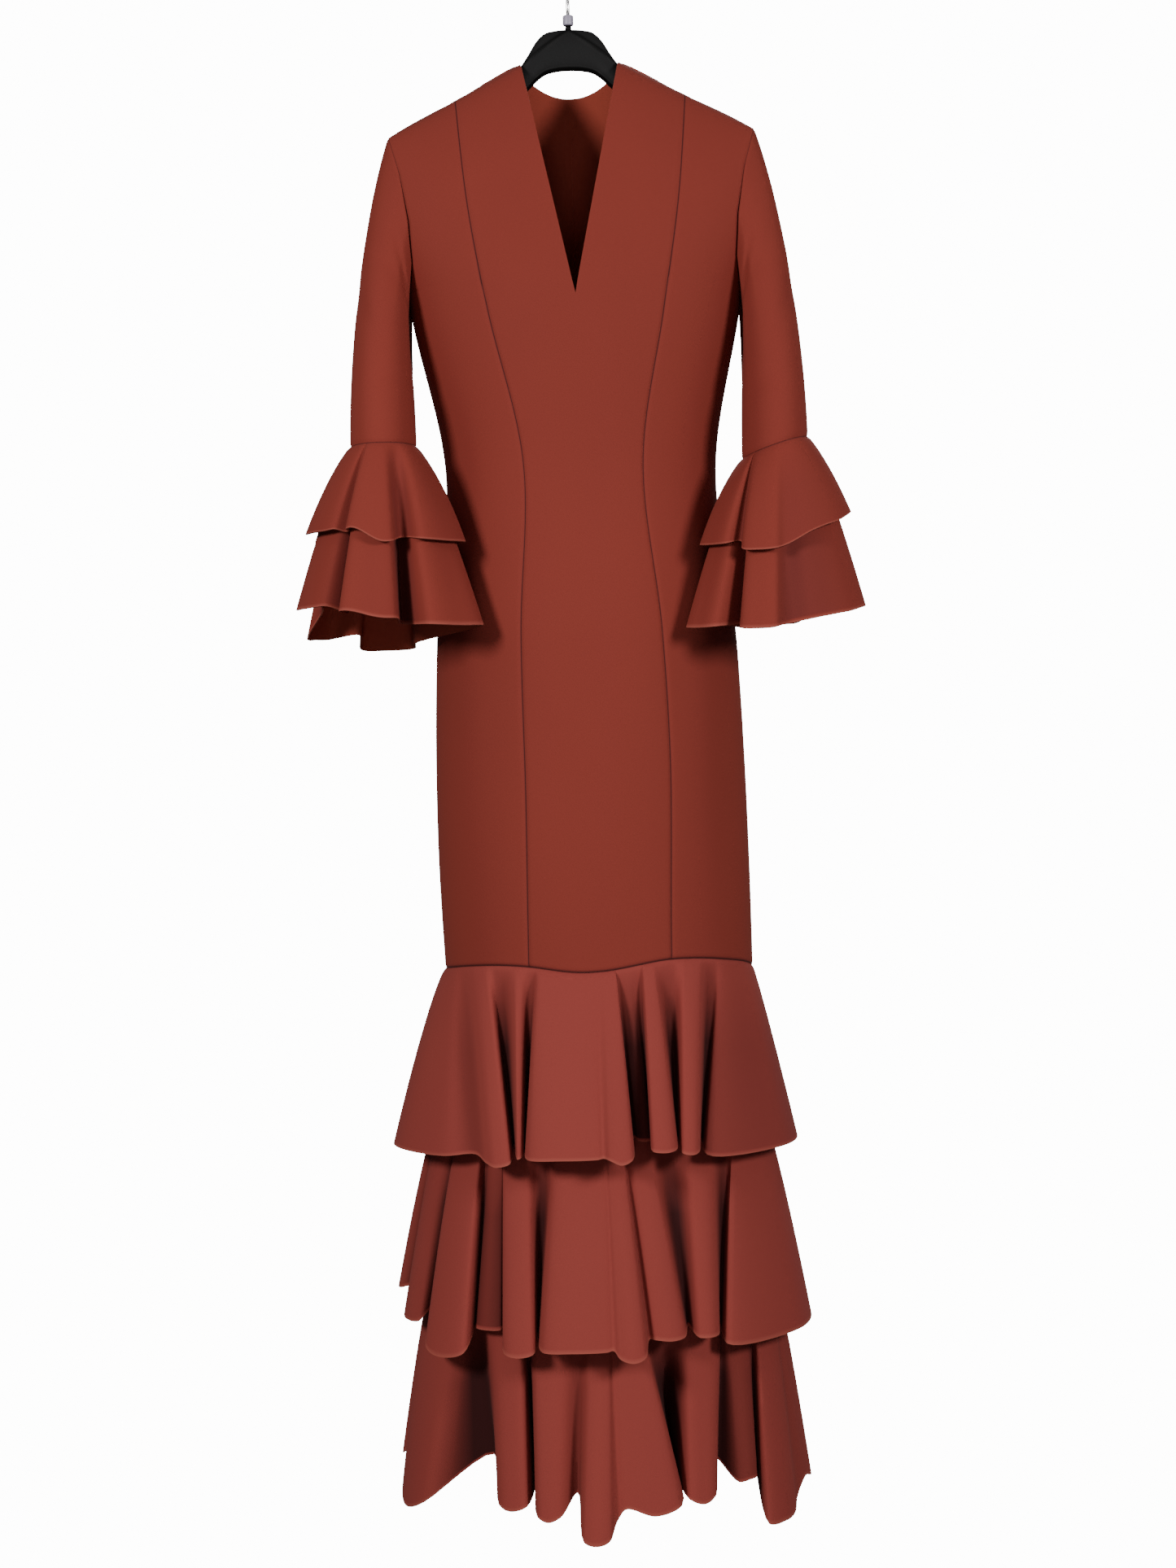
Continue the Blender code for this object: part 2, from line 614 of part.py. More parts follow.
def sleeves_and_cuffs(finish):
    for side in ("right", "left"):
        sleeve = sleeve_grid(side)
        upper, lower = cuff_grids(side)
        if side == "left":
            sleeve, upper, lower = mirrored(sleeve), mirrored(upper), mirrored(lower)
        cloth_object(f"sleeve_{side}", [sleeve], finish, closed=True)
        cloth_object(f"cuff_upper_{side}", [upper], finish, closed=True)
        cloth_object(f"cuff_lower_{side}", [lower], finish, closed=True)


# Hanger, hook and bead
def hanger(finish):
    bm = bmesh.new()
    stations = [(-x, top, tall, half) for x, top, tall, half in reversed(HANGER[1:])] + HANGER
    rings = []
    for x, top, tall, half in stations:
        ring = []
        for i in range(HANGER_RING):
            angle = math.tau * i / HANGER_RING
            y = half * rounded(math.sin(angle))
            z = NECK_Z - top - tall / 2 + tall / 2 * rounded(math.cos(angle))
            ring.append(bm.verts.new((x, y, z)))
        rings.append(ring)
    for a, b in zip(rings, rings[1:]):
        for i in range(HANGER_RING):
            k = (i + 1) % HANGER_RING
            bm.faces.new((a[i], a[k], b[k], b[i]))
    bm.faces.new(rings[0])
    bm.faces.new(rings[-1])
    bmesh.ops.recalc_face_normals(bm, faces=bm.faces)
    mesh = bpy.data.meshes.new("hanger")
    bm.to_mesh(mesh)
    bm.free()
    mesh.shade_smooth()
    mesh.materials.append(finish)
    parts.objects.link(bpy.data.objects.new("hanger", mesh))


def hook(finish):
    # Straight up, a bend to one side, then round over the crown; the two arcs meet smoothly
    crown = HOOK_INSIDE + HOOK_WIRE
    middle = -HOOK_INSIDE
    rise = HOOK_STRAIGHT_TOP_Z - middle
    bend = (rise * rise - crown * crown) / (2 * crown)
    first = math.atan2(-rise, bend)
    route = [(0.0, NECK_Z - HANGER[0][1] + HOOK_SEAT)]
    for angle in between(0.0, first, HOOK_BEND_STEPS)[:-1]:
        route.append((bend - bend * math.cos(angle), HOOK_STRAIGHT_TOP_Z + bend * math.sin(angle)))
    for angle in between(-first, math.radians(HOOK_TIP_TURN), HOOK_CROWN_STEPS):
        route.append((crown * math.cos(angle), middle + crown * math.sin(angle)))
    curve = bpy.data.curves.new("hanger_hook", "CURVE")
    curve.dimensions = "3D"
    curve.bevel_depth = HOOK_WIRE
    curve.bevel_resolution = 2
    curve.use_fill_caps = True
    spline = curve.splines.new("POLY")
    spline.points.add(len(route) - 1)
    for point, (x, z) in zip(spline.points, route):
        point.co = (x, 0.0, z, 1.0)
    spline.use_smooth = True
    curve.materials.append(finish)
    parts.objects.link(bpy.data.objects.new("hanger_hook", curve))


def bead(finish):
    # A small plain sleeve on the wire, turned from its section
    inner = HOOK_WIRE + BEAD_BORE_GAP
    half = BEAD_HEIGHT / 2
    section = [
        (inner, half), (BEAD_RADIUS - BEAD_CORNER, half), (BEAD_RADIUS, half - BEAD_CORNER),
        (BEAD_RADIUS, BEAD_CORNER - half), (BEAD_RADIUS - BEAD_CORNER, -half), (inner, -half),
    ]
    mesh = bpy.data.meshes.new("hook_bead")
    points = [(x, 0.0, z) for x, z in section]
    edges = [(i, (i + 1) % len(section)) for i in range(len(section))]
    mesh.from_pydata(points, edges, [])
    mesh.materials.append(finish)
    made = bpy.data.objects.new("hook_bead", mesh)
    made.location = (0.0, 0.0, NECK_Z - HANGER[0][1] + BEAD_SEAT + half)
    parts.objects.link(made)
    turn = made.modifiers.new("turn", "SCREW")
    turn.steps = BEAD_SIDES
    turn.render_steps = BEAD_SIDES
    turn.use_merge_vertices = True
    turn.merge_threshold = 0.00005
    turn.use_normal_calculate = True


clear_scene()
parts = bpy.data.collections.new("flamenco dress on a hanger")
bpy.context.scene.collection.children.link(parts)
crepe = material("rust crepe", RUST, 0.9)
front_centre_panel(crepe)
side_panels(crepe)
back_panels(crepe)
sleeves_and_cuffs(crepe)
base_skirt(crepe)
skirt(crepe)
hanger(material("black plastic", BLACK, 0.55))
hook(material("hook wire", STEEL, 0.25, 1.0))
bead(material("bead plastic", VIOLET_GREY, 0.45))
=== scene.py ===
import bisect
import math

import bmesh
import bpy
from mathutils import Matrix, Vector


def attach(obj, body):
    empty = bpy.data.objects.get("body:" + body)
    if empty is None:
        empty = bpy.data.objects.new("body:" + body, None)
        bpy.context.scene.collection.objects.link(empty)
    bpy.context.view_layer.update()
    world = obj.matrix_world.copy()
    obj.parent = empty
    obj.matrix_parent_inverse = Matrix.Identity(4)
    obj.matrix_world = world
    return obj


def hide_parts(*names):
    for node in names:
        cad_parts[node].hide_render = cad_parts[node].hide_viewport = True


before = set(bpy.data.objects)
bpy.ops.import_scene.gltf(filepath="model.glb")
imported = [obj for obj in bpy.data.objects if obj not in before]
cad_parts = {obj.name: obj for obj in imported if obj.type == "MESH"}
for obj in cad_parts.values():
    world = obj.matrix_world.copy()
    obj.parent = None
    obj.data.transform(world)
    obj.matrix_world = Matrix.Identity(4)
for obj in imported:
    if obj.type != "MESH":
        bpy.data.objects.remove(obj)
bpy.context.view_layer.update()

# Hook
# A bright plated wire, screwed into the hanger's neck and bent into an open hook that hangs on a rail.
# The origin of the whole dress is the inside of its crown.
HOOK_WIRE = 0.0019
HOOK_INSIDE = 0.0190
HOOK_FOOT_Z = -0.0852
HOOK_STRAIGHT_TOP_Z = -0.0580
HOOK_TIP_TURN = 200
WIRE_SIDES = 16
BEND_STEPS = 12
CROWN_STEPS = 56
STEEL = (0.72, 0.72, 0.74, 1.0)


def plain_material(name, colour, roughness, metallic=0.0):
    made = bpy.data.materials.new(name)
    made.use_nodes = True
    shader = made.node_tree.nodes["Principled BSDF"]
    shader.inputs["Base Color"].default_value = colour
    shader.inputs["Roughness"].default_value = roughness
    shader.inputs["Metallic"].default_value = metallic
    return made


def object_from(bm, name, *finishes):
    mesh = bpy.data.meshes.new(name)
    bm.to_mesh(mesh)
    bm.free()
    for finish in finishes:
        mesh.materials.append(finish)
    mesh.shade_smooth()
    made = bpy.data.objects.new(name, mesh)
    bpy.context.scene.collection.objects.link(made)
    return made


def in_place_of(piece, node):
    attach(piece, "root")
    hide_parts(node)


def spin_end(bm, ring, centre, degrees, steps):
    edges = [e for e in bm.edges if all(v in ring for v in e.verts)]
    done = bmesh.ops.spin(
        bm, geom=ring + edges, cent=centre, axis=(0, 1, 0), angle=math.radians(degrees), steps=steps,
        use_merge=False,
    )
    return [v for v in done["geom_last"] if isinstance(v, bmesh.types.BMVert)]


def hook_mesh():
    # Straight up, a quarter bend to one side, then round over the crown
    crown = HOOK_INSIDE + HOOK_WIRE
    middle = -HOOK_INSIDE
    rise = HOOK_STRAIGHT_TOP_Z - middle
    bend = (rise * rise - crown * crown) / (2 * crown)
    bm = bmesh.new()
    made = bmesh.ops.create_circle(bm, cap_ends=True, radius=HOOK_WIRE, segments=WIRE_SIDES)
    ring = made["verts"]
    bmesh.ops.translate(bm, verts=ring, vec=(0, 0, HOOK_FOOT_Z))
    edges = [e for e in bm.edges if all(v in ring for v in e.verts)]
    done = bmesh.ops.extrude_edge_only(bm, edges=edges)
    ring = [v for v in done["geom"] if isinstance(v, bmesh.types.BMVert)]
    bmesh.ops.translate(bm, verts=ring, vec=(0, 0, HOOK_STRAIGHT_TOP_Z - HOOK_FOOT_Z))
    first = math.degrees(math.atan2(-rise, bend))
    ring = spin_end(bm, ring, (bend, 0, HOOK_STRAIGHT_TOP_Z), first, BEND_STEPS)
    spin_end(bm, ring, (0, 0, middle), -(HOOK_TIP_TURN + first), CROWN_STEPS)
    bmesh.ops.contextual_create(bm, geom=[e for e in bm.edges if len(e.link_faces) == 1])
    bmesh.ops.recalc_face_normals(bm, faces=bm.faces)
    return bm


def wire_material():
    made = plain_material("hook wire", STEEL, 0.22, 1.0)
    tree = made.node_tree
    place = tree.nodes.new("ShaderNodeTexCoord")
    grain = tree.nodes.new("ShaderNodeTexNoise")
    grain.inputs["Scale"].default_value = 420
    spread = tree.nodes.new("ShaderNodeMapRange")
    spread.inputs["To Min"].default_value = 0.16
    spread.inputs["To Max"].default_value = 0.32
    tree.links.new(place.outputs["Object"], grain.inputs["Vector"])
    tree.links.new(grain.outputs["Fac"], spread.inputs["Value"])
    tree.links.new(spread.outputs["Result"], tree.nodes["Principled BSDF"].inputs["Roughness"])
    return made


hook = object_from(hook_mesh(), "hook_wire", wire_material())
in_place_of(hook, "hanger_hook")

# Bead
# A small plain plastic sleeve, moulded in one and slipped over the wire.
# It rests on the hanger's neck.
BEAD_RADIUS = 0.0055
BEAD_HEIGHT = 0.0104
BEAD_FOOT_Z = -0.0815
BEAD_EDGE = 0.0016
BEAD_PLAY = 0.0004
BEAD_SIDES = 40
VIOLET_GREY = (0.36, 0.33, 0.43, 1.0)


def bead_mesh():
    bm = bmesh.new()
    bmesh.ops.create_cone(
        bm, cap_ends=True, segments=BEAD_SIDES, radius1=BEAD_RADIUS, radius2=BEAD_RADIUS,
        depth=BEAD_HEIGHT, matrix=Matrix.Translation((0, 0, BEAD_FOOT_Z + BEAD_HEIGHT / 2)),
    )
    ends = [f for f in bm.faces if abs(f.normal.z) > 0.5]
    bmesh.ops.inset_region(bm, faces=ends, thickness=BEAD_RADIUS - HOOK_WIRE - BEAD_PLAY)
    holes = sorted((f for f in bm.faces if abs(f.normal.z) > 0.5), key=lambda f: f.calc_area())[:2]
    bmesh.ops.bridge_loops(bm, edges=list({e for f in holes for e in f.edges}))
    bmesh.ops.delete(bm, geom=holes, context="FACES_ONLY")
    outer = [v for v in bm.verts if math.hypot(v.co.x, v.co.y) > BEAD_RADIUS - 1e-5]
    rims = [e for e in bm.edges if all(v in outer for v in e.verts)]
    rims = [e for e in rims if abs(e.verts[0].co.z - e.verts[1].co.z) < 1e-6]
    bmesh.ops.bevel(
        bm, geom=rims, offset=BEAD_EDGE, offset_type="OFFSET", affect="EDGES", segments=5, profile=0.5,
        material=-1,
    )
    return bm


bead = object_from(bead_mesh(), "size_bead", plain_material("bead plastic", VIOLET_GREY, 0.38))
in_place_of(bead, "hook_bead")

# Hanger
# A black jacket hanger moulded in one: a broad domed middle, two arms that slope like shoulders,
# and raised ribs that run from the hook down to each arm.
NECK_Z = -0.120

# How far out, top edge below the neck level, height, half thickness
HANGER = [
    (0.000, -0.0345, 0.0420, 0.0075),
    (0.014, -0.0335, 0.0420, 0.0080),
    (0.026, -0.0300, 0.0420, 0.0085),
    (0.034, -0.0220, 0.0400, 0.0085),
    (0.042, -0.0090, 0.0350, 0.0085),
    (0.050, 0.0023, 0.0300, 0.0085),
    (0.070, 0.0127, 0.030, 0.0105),
    (0.100, 0.0285, 0.032, 0.0120),
    (0.150, 0.0547, 0.032, 0.0110),
    (0.174, 0.0679, 0.028, 0.0095),
    (0.183, 0.0760, 0.016, 0.0060),
]
ROUNDNESS = 0.94
HANGER_GRID = (120, 200)
PANEL_GREY = (0.0105, 0.0105, 0.0110, 1.0)
BLACK = (0.0018, 0.0018, 0.0020, 1.0)
RIB_SLOPE = 0.74
RIB_END_X = 0.060
RIB_WIDTH = 0.0024
RIB_HEIGHT = 0.0012
RIM_WIDTH = 0.0040
RIM_EDGE = 0.0008
NECK_SIDES = 32

# Radius below and above, foot and head
HANGER_NECK = (0.0034, 0.0027, -0.0870, -0.0813)


def curve_through(rows, column):
    # A smooth curve through one column of a table, against its first column
    keys = [row[0] for row in rows]
    values = [row[column] for row in rows]
    slopes = []
    for i in range(len(rows)):
        a, b = max(i - 1, 0), min(i + 1, len(rows) - 1)
        if 0 < i < len(rows) - 1:
            left, right = keys[i] - keys[i - 1], keys[i + 1] - keys[i]
            fall = (values[i] - values[i - 1]) / left
            rise = (values[i + 1] - values[i]) / right
            slopes.append((fall * right + rise * left) / (left + right))
        else:
            slopes.append((values[b] - values[a]) / (keys[b] - keys[a]))

    def at(key):
        key = min(max(key, keys[0]), keys[-1])
        i = min(max(bisect.bisect_right(keys, key) - 1, 0), len(keys) - 2)
        span = keys[i + 1] - keys[i]
        t = (key - keys[i]) / span
        rise = values[i + 1] - values[i]
        a = slopes[i] * span - rise
        b = rise - slopes[i + 1] * span
        return values[i] + rise * t + t * (1 - t) * (a * (1 - t) + b * t)

    return at


def rounded(value):
    return math.copysign(abs(value) ** ROUNDNESS, value)


def lay_patch(bm, columns, rows, place, dark=None):
    # A grid of cloth or moulding whose points are placed by how far they are across and down,
    # each with how deep it lies in a fold or a seam, which the crepe paints as shade
    depth = bm.verts.layers.float.get("depth") or bm.verts.layers.float.new("depth")
    made = bmesh.ops.create_grid(bm, x_segments=columns, y_segments=rows, size=0.5)
    weave = bm.loops.layers.uv.verify()
    for vert in made["verts"]:
        across, down = vert.co.x + 0.5, 0.5 - vert.co.y
        for loop in vert.link_loops:
            loop[weave].uv = (across, down)
        vert.co = place(across, down)
        if dark:
            vert[depth] = dark(across, down)


def hanger_mesh():
    top = curve_through(HANGER, 1)
    tall = curve_through(HANGER, 2)
    half = curve_through(HANGER, 3)
    reach = HANGER[-1][0]

    def raised(across, down):
        # The two slanting ribs and the rim along the lower edge
        x = abs(reach * math.sin((down - 0.5) * math.pi))
        drop = top(x) + tall(x) / 2 * (1 - rounded(math.cos(math.tau * across)))
        rim = min(max((drop - top(x) - tall(x) + RIM_WIDTH) / RIM_EDGE, 0.0), 1.0)
        if x > RIB_END_X:
            return rim
        rib = math.exp(-((drop - top(0) - RIB_SLOPE * x) / RIB_WIDTH) ** 4)
        return max(rib, rim)

    def place(across, down):
        x = reach * math.sin((down - 0.5) * math.pi)
        angle = math.tau * across
        y = -(half(abs(x)) + RIB_HEIGHT * raised(across, down)) * rounded(math.sin(angle))
        middle = NECK_Z - top(abs(x)) - tall(abs(x)) / 2
        return (x, y, middle + tall(abs(x)) / 2 * rounded(math.cos(angle)))

    bm = bmesh.new()
    lay_patch(bm, *HANGER_GRID, place, raised)
    bmesh.ops.remove_doubles(bm, verts=bm.verts, dist=1e-6)
    bmesh.ops.holes_fill(bm, edges=[e for e in bm.edges if len(e.link_faces) == 1])
    wide, narrow, foot, head = HANGER_NECK
    neck = bmesh.ops.create_cone(
        bm, cap_ends=True, segments=NECK_SIDES, radius1=wide, radius2=narrow, depth=head - foot,
        matrix=Matrix.Translation((0, 0, (foot + head) / 2)),
    )
    mask = bm.verts.layers.float["depth"]
    for vert in neck["verts"]:
        vert[mask] = 1.0
    bmesh.ops.recalc_face_normals(bm, faces=bm.faces)
    return bm


def moulded_material():
    made = plain_material("black plastic", BLACK, 0.6)
    tree = made.node_tree
    tree.nodes["Principled BSDF"].inputs["Specular IOR Level"].default_value = 0.14
    raised = tree.nodes.new("ShaderNodeAttribute")
    raised.attribute_name = "depth"
    tone = tree.nodes.new("ShaderNodeMix")
    tone.data_type = "RGBA"
    tone.inputs["A"].default_value = PANEL_GREY
    tone.inputs["B"].default_value = BLACK
    tree.links.new(raised.outputs["Fac"], tone.inputs["Factor"])
    tree.links.new(tone.outputs["Result"], tree.nodes["Principled BSDF"].inputs["Base Color"])
    place = tree.nodes.new("ShaderNodeTexCoord")
    grain = tree.nodes.new("ShaderNodeTexNoise")
    grain.inputs["Scale"].default_value = 1600
    bump = tree.nodes.new("ShaderNodeBump")
    bump.inputs["Strength"].default_value = 0.25
    bump.inputs["Distance"].default_value = 0.0004
    tree.links.new(place.outputs["Object"], grain.inputs["Vector"])
    tree.links.new(grain.outputs["Fac"], bump.inputs["Height"])
    tree.links.new(bump.outputs["Normal"], tree.nodes["Principled BSDF"].inputs["Normal"])
    return made


hanger = object_from(hanger_mesh(), "jacket_hanger", moulded_material())
in_place_of(hanger, "hanger")

# Bodice and sheath skirt
# Seven panels of heavy stretch crepe from the shoulders to the knee, joined by princess seams.
# Cut to the figure, sewn edge to edge and pressed open, so that each seam lies in a thin groove.
CLOTH = 0.0014
NECK_X = 0.050
SHOULDER_X = 0.187
SHOULDER_DROP = 0.072
SHOULDER_FADE = 0.100
SHOULDER_SEAM_Y = 0.0016
FRONT_NECK_DROP = 0.250
BACK_NECK_DROP = 0.028
UNDERARM_DROP = 0.235
PRINCESS_TOP_X = 0.118
KNEE_DROP = 0.913
GROOVE_DEPTH = 0.0009
GROOVE_WIDTH = 0.0024
SEAM_LINE = 0.0009
GIRTH_RADIUS = 0.15
WELD_DISTANCE = 2e-6
SHARP_ANGLE = 55
EDGE_CROWDING = 0.8
TUBE_CROWDING = 0.85
SHOULDER_CROWDING = 1.2
FRONT_COLUMNS = 80
PANEL_COLUMNS = 44
TUBE_ROWS = 150
NECK_GRID = (40, 70)
SHOULDER_GRID = (PANEL_COLUMNS, 60)

# Rough widths and heights of the panels, for the dark line in each seam
KNEE_LINE_REACH = 0.3
SIDE_LINE_REACH = 0.08
BACK_LINE_REACH = 0.1
SHOULDER_LINE_REACH = 0.16

# The crepe's face, cut edge and back, the mark of a raw hem, and the painted shade that depth brings
RUST = (0.222, 0.0325, 0.0212, 1.0)
RUST_SHADE = (0.168, 0.023, 0.017, 1.0)
CUT_EDGE = (0.400, 0.120, 0.085, 1.0)
CUT_SHADE = (0.300, 0.075, 0.050, 1.0)
# The back's own tone, painted lighter for the light that reaches inside the cuffs
CREPE_BACK_PAINTED_LIGHTER = (0.370, 0.064, 0.040, 1.0)
BACK_SHADE_PAINTED_LIGHTER = (0.290, 0.046, 0.027, 1.0)
HEM_MARK = -1.0
HEM_PALE = (0.310, 0.068, 0.050, 1.0)
# Painted shade: a recess tone and a near-black valley tone for the folds, which also draw the seams'
# dark lines
RECESS_SHADE_AND_SEAM_TONE = (0.150, 0.022, 0.018, 1.0)
VALLEY_SHADE_AND_SEAM_LINE = (0.032, 0.003, 0.003, 1.0)

# Drop, middle, half width, depth in front and behind
BODY = [
    (-0.040, 0.000, 0.235, 0.032, 0.032),
    (0.072, 0.000, 0.230, 0.046, 0.044),
    (0.160, 0.000, 0.198, 0.072, 0.058),
    (0.235, 0.000, 0.171, 0.092, 0.072),
    (0.263, 0.000, 0.166, 0.095, 0.076),
    (0.410, 0.001, 0.138, 0.100, 0.094),
    (0.587, 0.0025, 0.1525, 0.130, 0.138),
    (0.707, 0.003, 0.157, 0.140, 0.144),
    (0.801, 0.004, 0.158, 0.144, 0.146),
    (0.940, 0.007, 0.156, 0.148, 0.148),
]

# Drop and degrees
TWIST = [(0.235, 0.0), (0.587, 2.2), (0.720, 2.8), (0.913, 0.4)]

# Drop and distance from the middle
PRINCESS = [
    (0.030, 0.118), (0.160, 0.105), (0.263, 0.088), (0.410, 0.060), (0.587, 0.070), (0.913, 0.070),
]
ARMHOLE = [
    (0.072, 0.187), (0.115, 0.175), (0.165, 0.166), (0.205, 0.1635), (0.228, 0.1665), (0.235, 0.171),
]

# Bearing and drop
KNEE_SEAM = [
    (-180, 0.918), (-90, 0.918), (-25, 0.912), (-6, 0.918), (25, 0.908), (60, 0.914), (90, 0.924),
    (180, 0.918),
]

# Soft creases of the hanging tube: bearing, top drop, bottom drop, width in degrees, depth
CREASES = [
    (-62, 0.300, 0.620, 9, 0.0022),
    (-38, 0.420, 0.900, 12, 0.0014),
    (34, 0.400, 0.760, 10, 0.0016),
    (58, 0.520, 0.920, 12, 0.0020),
    (-8, 0.560, 0.860, 14, 0.0012),
    (112, 0.300, 0.640, 10, 0.0022),
    (150, 0.420, 0.880, 13, 0.0018),
    (196, 0.380, 0.700, 11, 0.0020),
    (238, 0.540, 0.900, 12, 0.0020),
]


def line_through(rows, column):
    # Straight stretches from row to row
    keys = [row[0] for row in rows]

    def at(key):
        key = min(max(key, keys[0]), keys[-1])
        i = min(max(bisect.bisect_right(keys, key) - 1, 0), len(keys) - 2)
        t = (key - keys[i]) / (keys[i + 1] - keys[i])
        return rows[i][column] + (rows[i + 1][column] - rows[i][column]) * t

    return at


body_centre = curve_through(BODY, 1)
body_width = curve_through(BODY, 2)
body_front = curve_through(BODY, 3)
body_back = curve_through(BODY, 4)
body_twist = curve_through(TWIST, 1)
princess_x = curve_through(PRINCESS, 1)
armhole_x = line_through(ARMHOLE, 1)
knee_line = curve_through(KNEE_SEAM, 1)


def shoulder_line(x):
    return SHOULDER_DROP * (abs(x) - NECK_X) / (SHOULDER_X - NECK_X)


def crease(bearing, drop):
    total = 0.0
    for middle, top, bottom, width, depth in CREASES:
        if top < drop < bottom:
            off = (bearing - middle + 180) % 360 - 180
            along = math.sin(math.pi * (drop - top) / (bottom - top)) ** 2
            total += depth * along * math.exp(-(off / width) ** 2)
    return total


def body_point(bearing, drop, inset=0.0):
    turned = math.radians(bearing + body_twist(drop))
    inset += crease(bearing, drop)
    facing = math.cos(turned)
    width = body_width(drop) - inset
    depth = (body_front(drop) if facing > 0 else body_back(drop)) - inset
    x = body_centre(drop) + width * rounded(math.sin(turned))
    below = min(max(drop - shoulder_line(x), 0.0) / SHOULDER_FADE, 1.0)
    fade = math.sqrt(1 - (1 - below) ** 2)
    y = depth * abs(rounded(facing)) * fade + SHOULDER_SEAM_Y * (1 - fade)
    return Vector((x, -math.copysign(y, facing), NECK_Z - drop))


def bearing_of(distance, drop):
    return math.degrees(math.asin(min(distance / body_width(drop), 1.0) ** (1 / ROUNDNESS)))


def neck_edge(drop):
    return NECK_X * (1 - max(drop, 0.0) / FRONT_NECK_DROP)


def knee_drop(bearing):
    return knee_line((bearing + 180) % 360 - 180)


def princess_bearing(drop):
    return bearing_of(princess_x(drop), drop)


def toward_edges(share):
    # Columns crowd towards both seams, where the groove is
    return share - EDGE_CROWDING * math.sin(math.tau * share) / math.tau


def metres_across(degrees):
    return math.radians(degrees) * GIRTH_RADIUS


def groove(metres):
    return GROOVE_DEPTH * math.exp(-(metres / GROOVE_WIDTH) ** 2)


def seam_line(*distances):
    return max(math.exp(-(metres / SEAM_LINE) ** 2) for metres in distances)


def panel_point(left, right, share, drop):
    # A point between two seams, sunk into the groove beside each and above the knee seam
    width = metres_across(right - left)
    bearing = left + (right - left) * share
    inset = groove(width * share) + groove(width * (1 - share)) + groove(knee_drop(bearing) - drop)
    return body_point(bearing, drop, inset)


def tube_patch(bm, left, right, columns, top):
    # The stretch from a drop to the knee seam, between two seams, with rows that crowd at the knee
    def place(across, down):
        share = toward_edges(across)
        down = down + TUBE_CROWDING * down * (1 - down)
        level = top + (KNEE_DROP - top) * down
        bearing = left(level) + (right(level) - left(level)) * share
        drop = top + (knee_drop(bearing) - top) * down
        return panel_point(left(drop), right(drop), share, drop)

    def dark(across, down):
        share = toward_edges(across)
        width = metres_across(right(KNEE_DROP) - left(KNEE_DROP))
        return seam_line(width * share, width * (1 - share), KNEE_LINE_REACH * (1 - down) ** 1.5)

    lay_patch(bm, columns, TUBE_ROWS, place, dark)


def weld(bm):
    bmesh.ops.remove_doubles(bm, verts=bm.verts, dist=WELD_DISTANCE)


def effect_group(name, inputs, outputs):
    group = bpy.data.node_groups.new(name, "ShaderNodeTree")
    for label, kind, value in inputs:
        socket = group.interface.new_socket(name=label, in_out="INPUT", socket_type=kind)
        socket.default_value = value
    for label, kind in outputs:
        group.interface.new_socket(name=label, in_out="OUTPUT", socket_type=kind)
    return group, group.nodes.new("NodeGroupInput"), group.nodes.new("NodeGroupOutput")


def crepe_group():
    # Crepe: a fine pebbled face, faint cross threads, a slow drift of tone, and painted shade from
    # depth
    group, given, out = effect_group(
        "crepe face",
        [
            ("Colour", "NodeSocketColor", RUST),
            ("Shade", "NodeSocketColor", RUST),
            ("Drift", "NodeSocketFloat", 0.5),
            ("Depth", "NodeSocketFloat", 0.0),
        ],
        [
            ("Colour", "NodeSocketColor"),
            ("Roughness", "NodeSocketFloat"),
            ("Height", "NodeSocketFloat"),
        ],
    )
    nodes, links = group.nodes, group.links
    place = nodes.new("ShaderNodeTexCoord")

    def noise(scale, detail, stretch=(1, 1, 1)):
        turn = nodes.new("ShaderNodeMapping")
        turn.inputs["Scale"].default_value = stretch
        links.new(place.outputs["Object"], turn.inputs["Vector"])
        made = nodes.new("ShaderNodeTexNoise")
        made.inputs["Scale"].default_value = scale
        made.inputs["Detail"].default_value = detail
        links.new(turn.outputs["Vector"], made.inputs["Vector"])
        return made.outputs["Fac"]

    def arithmetic(kind, a, b):
        made = nodes.new("ShaderNodeMath")
        made.operation = kind
        for socket, value in zip(made.inputs, (a, b)):
            if isinstance(value, (int, float)):
                socket.default_value = value
            else:
                links.new(value, socket)
        return made.outputs[0]

    pebble = noise(1500, 2.0)
    threads = noise(900, 1.0, (0.25, 0.25, 1.6))
    drift = noise(7, 2.0, (1, 1, 0.6))
    pebbled = arithmetic("MULTIPLY", pebble, 0.65)
    grain = arithmetic("ADD", pebbled, arithmetic("MULTIPLY", threads, 0.35))
    slow = arithmetic("MULTIPLY", drift, given.outputs["Drift"])
    amount = arithmetic("ADD", arithmetic("MULTIPLY", grain, 0.45), slow)

    def mix(factor, start, stop):
        made = nodes.new("ShaderNodeMix")
        made.data_type = "RGBA"
        links.new(factor, made.inputs["Factor"])
        links.new(start, made.inputs["A"])
        if isinstance(stop, tuple):
            made.inputs["B"].default_value = stop
        else:
            links.new(stop, made.inputs["B"])
        return made.outputs["Result"]

    def span(low, high):
        made = nodes.new("ShaderNodeMapRange")
        made.inputs["From Min"].default_value = low
        made.inputs["From Max"].default_value = high
        links.new(given.outputs["Depth"], made.inputs["Value"])
        return made.outputs["Result"]

    cloth = mix(amount, given.outputs["Colour"], given.outputs["Shade"])
    # Depth brings the pale hem mark, then painted shade: the recess tone, and the valley tone deepest
    # in folds and seams
    cloth = mix(span(0.0, HEM_MARK), cloth, HEM_PALE)
    painted_recess_shade = mix(span(0.10, 0.60), cloth, RECESS_SHADE_AND_SEAM_TONE)
    links.new(mix(span(0.55, 1.0), painted_recess_shade, VALLEY_SHADE_AND_SEAM_LINE), out.inputs["Colour"])
    links.new(arithmetic("ADD", arithmetic("MULTIPLY", pebble, 0.12), 0.80), out.inputs["Roughness"])
    links.new(grain, out.inputs["Height"])
    return group


crepe_face = crepe_group()


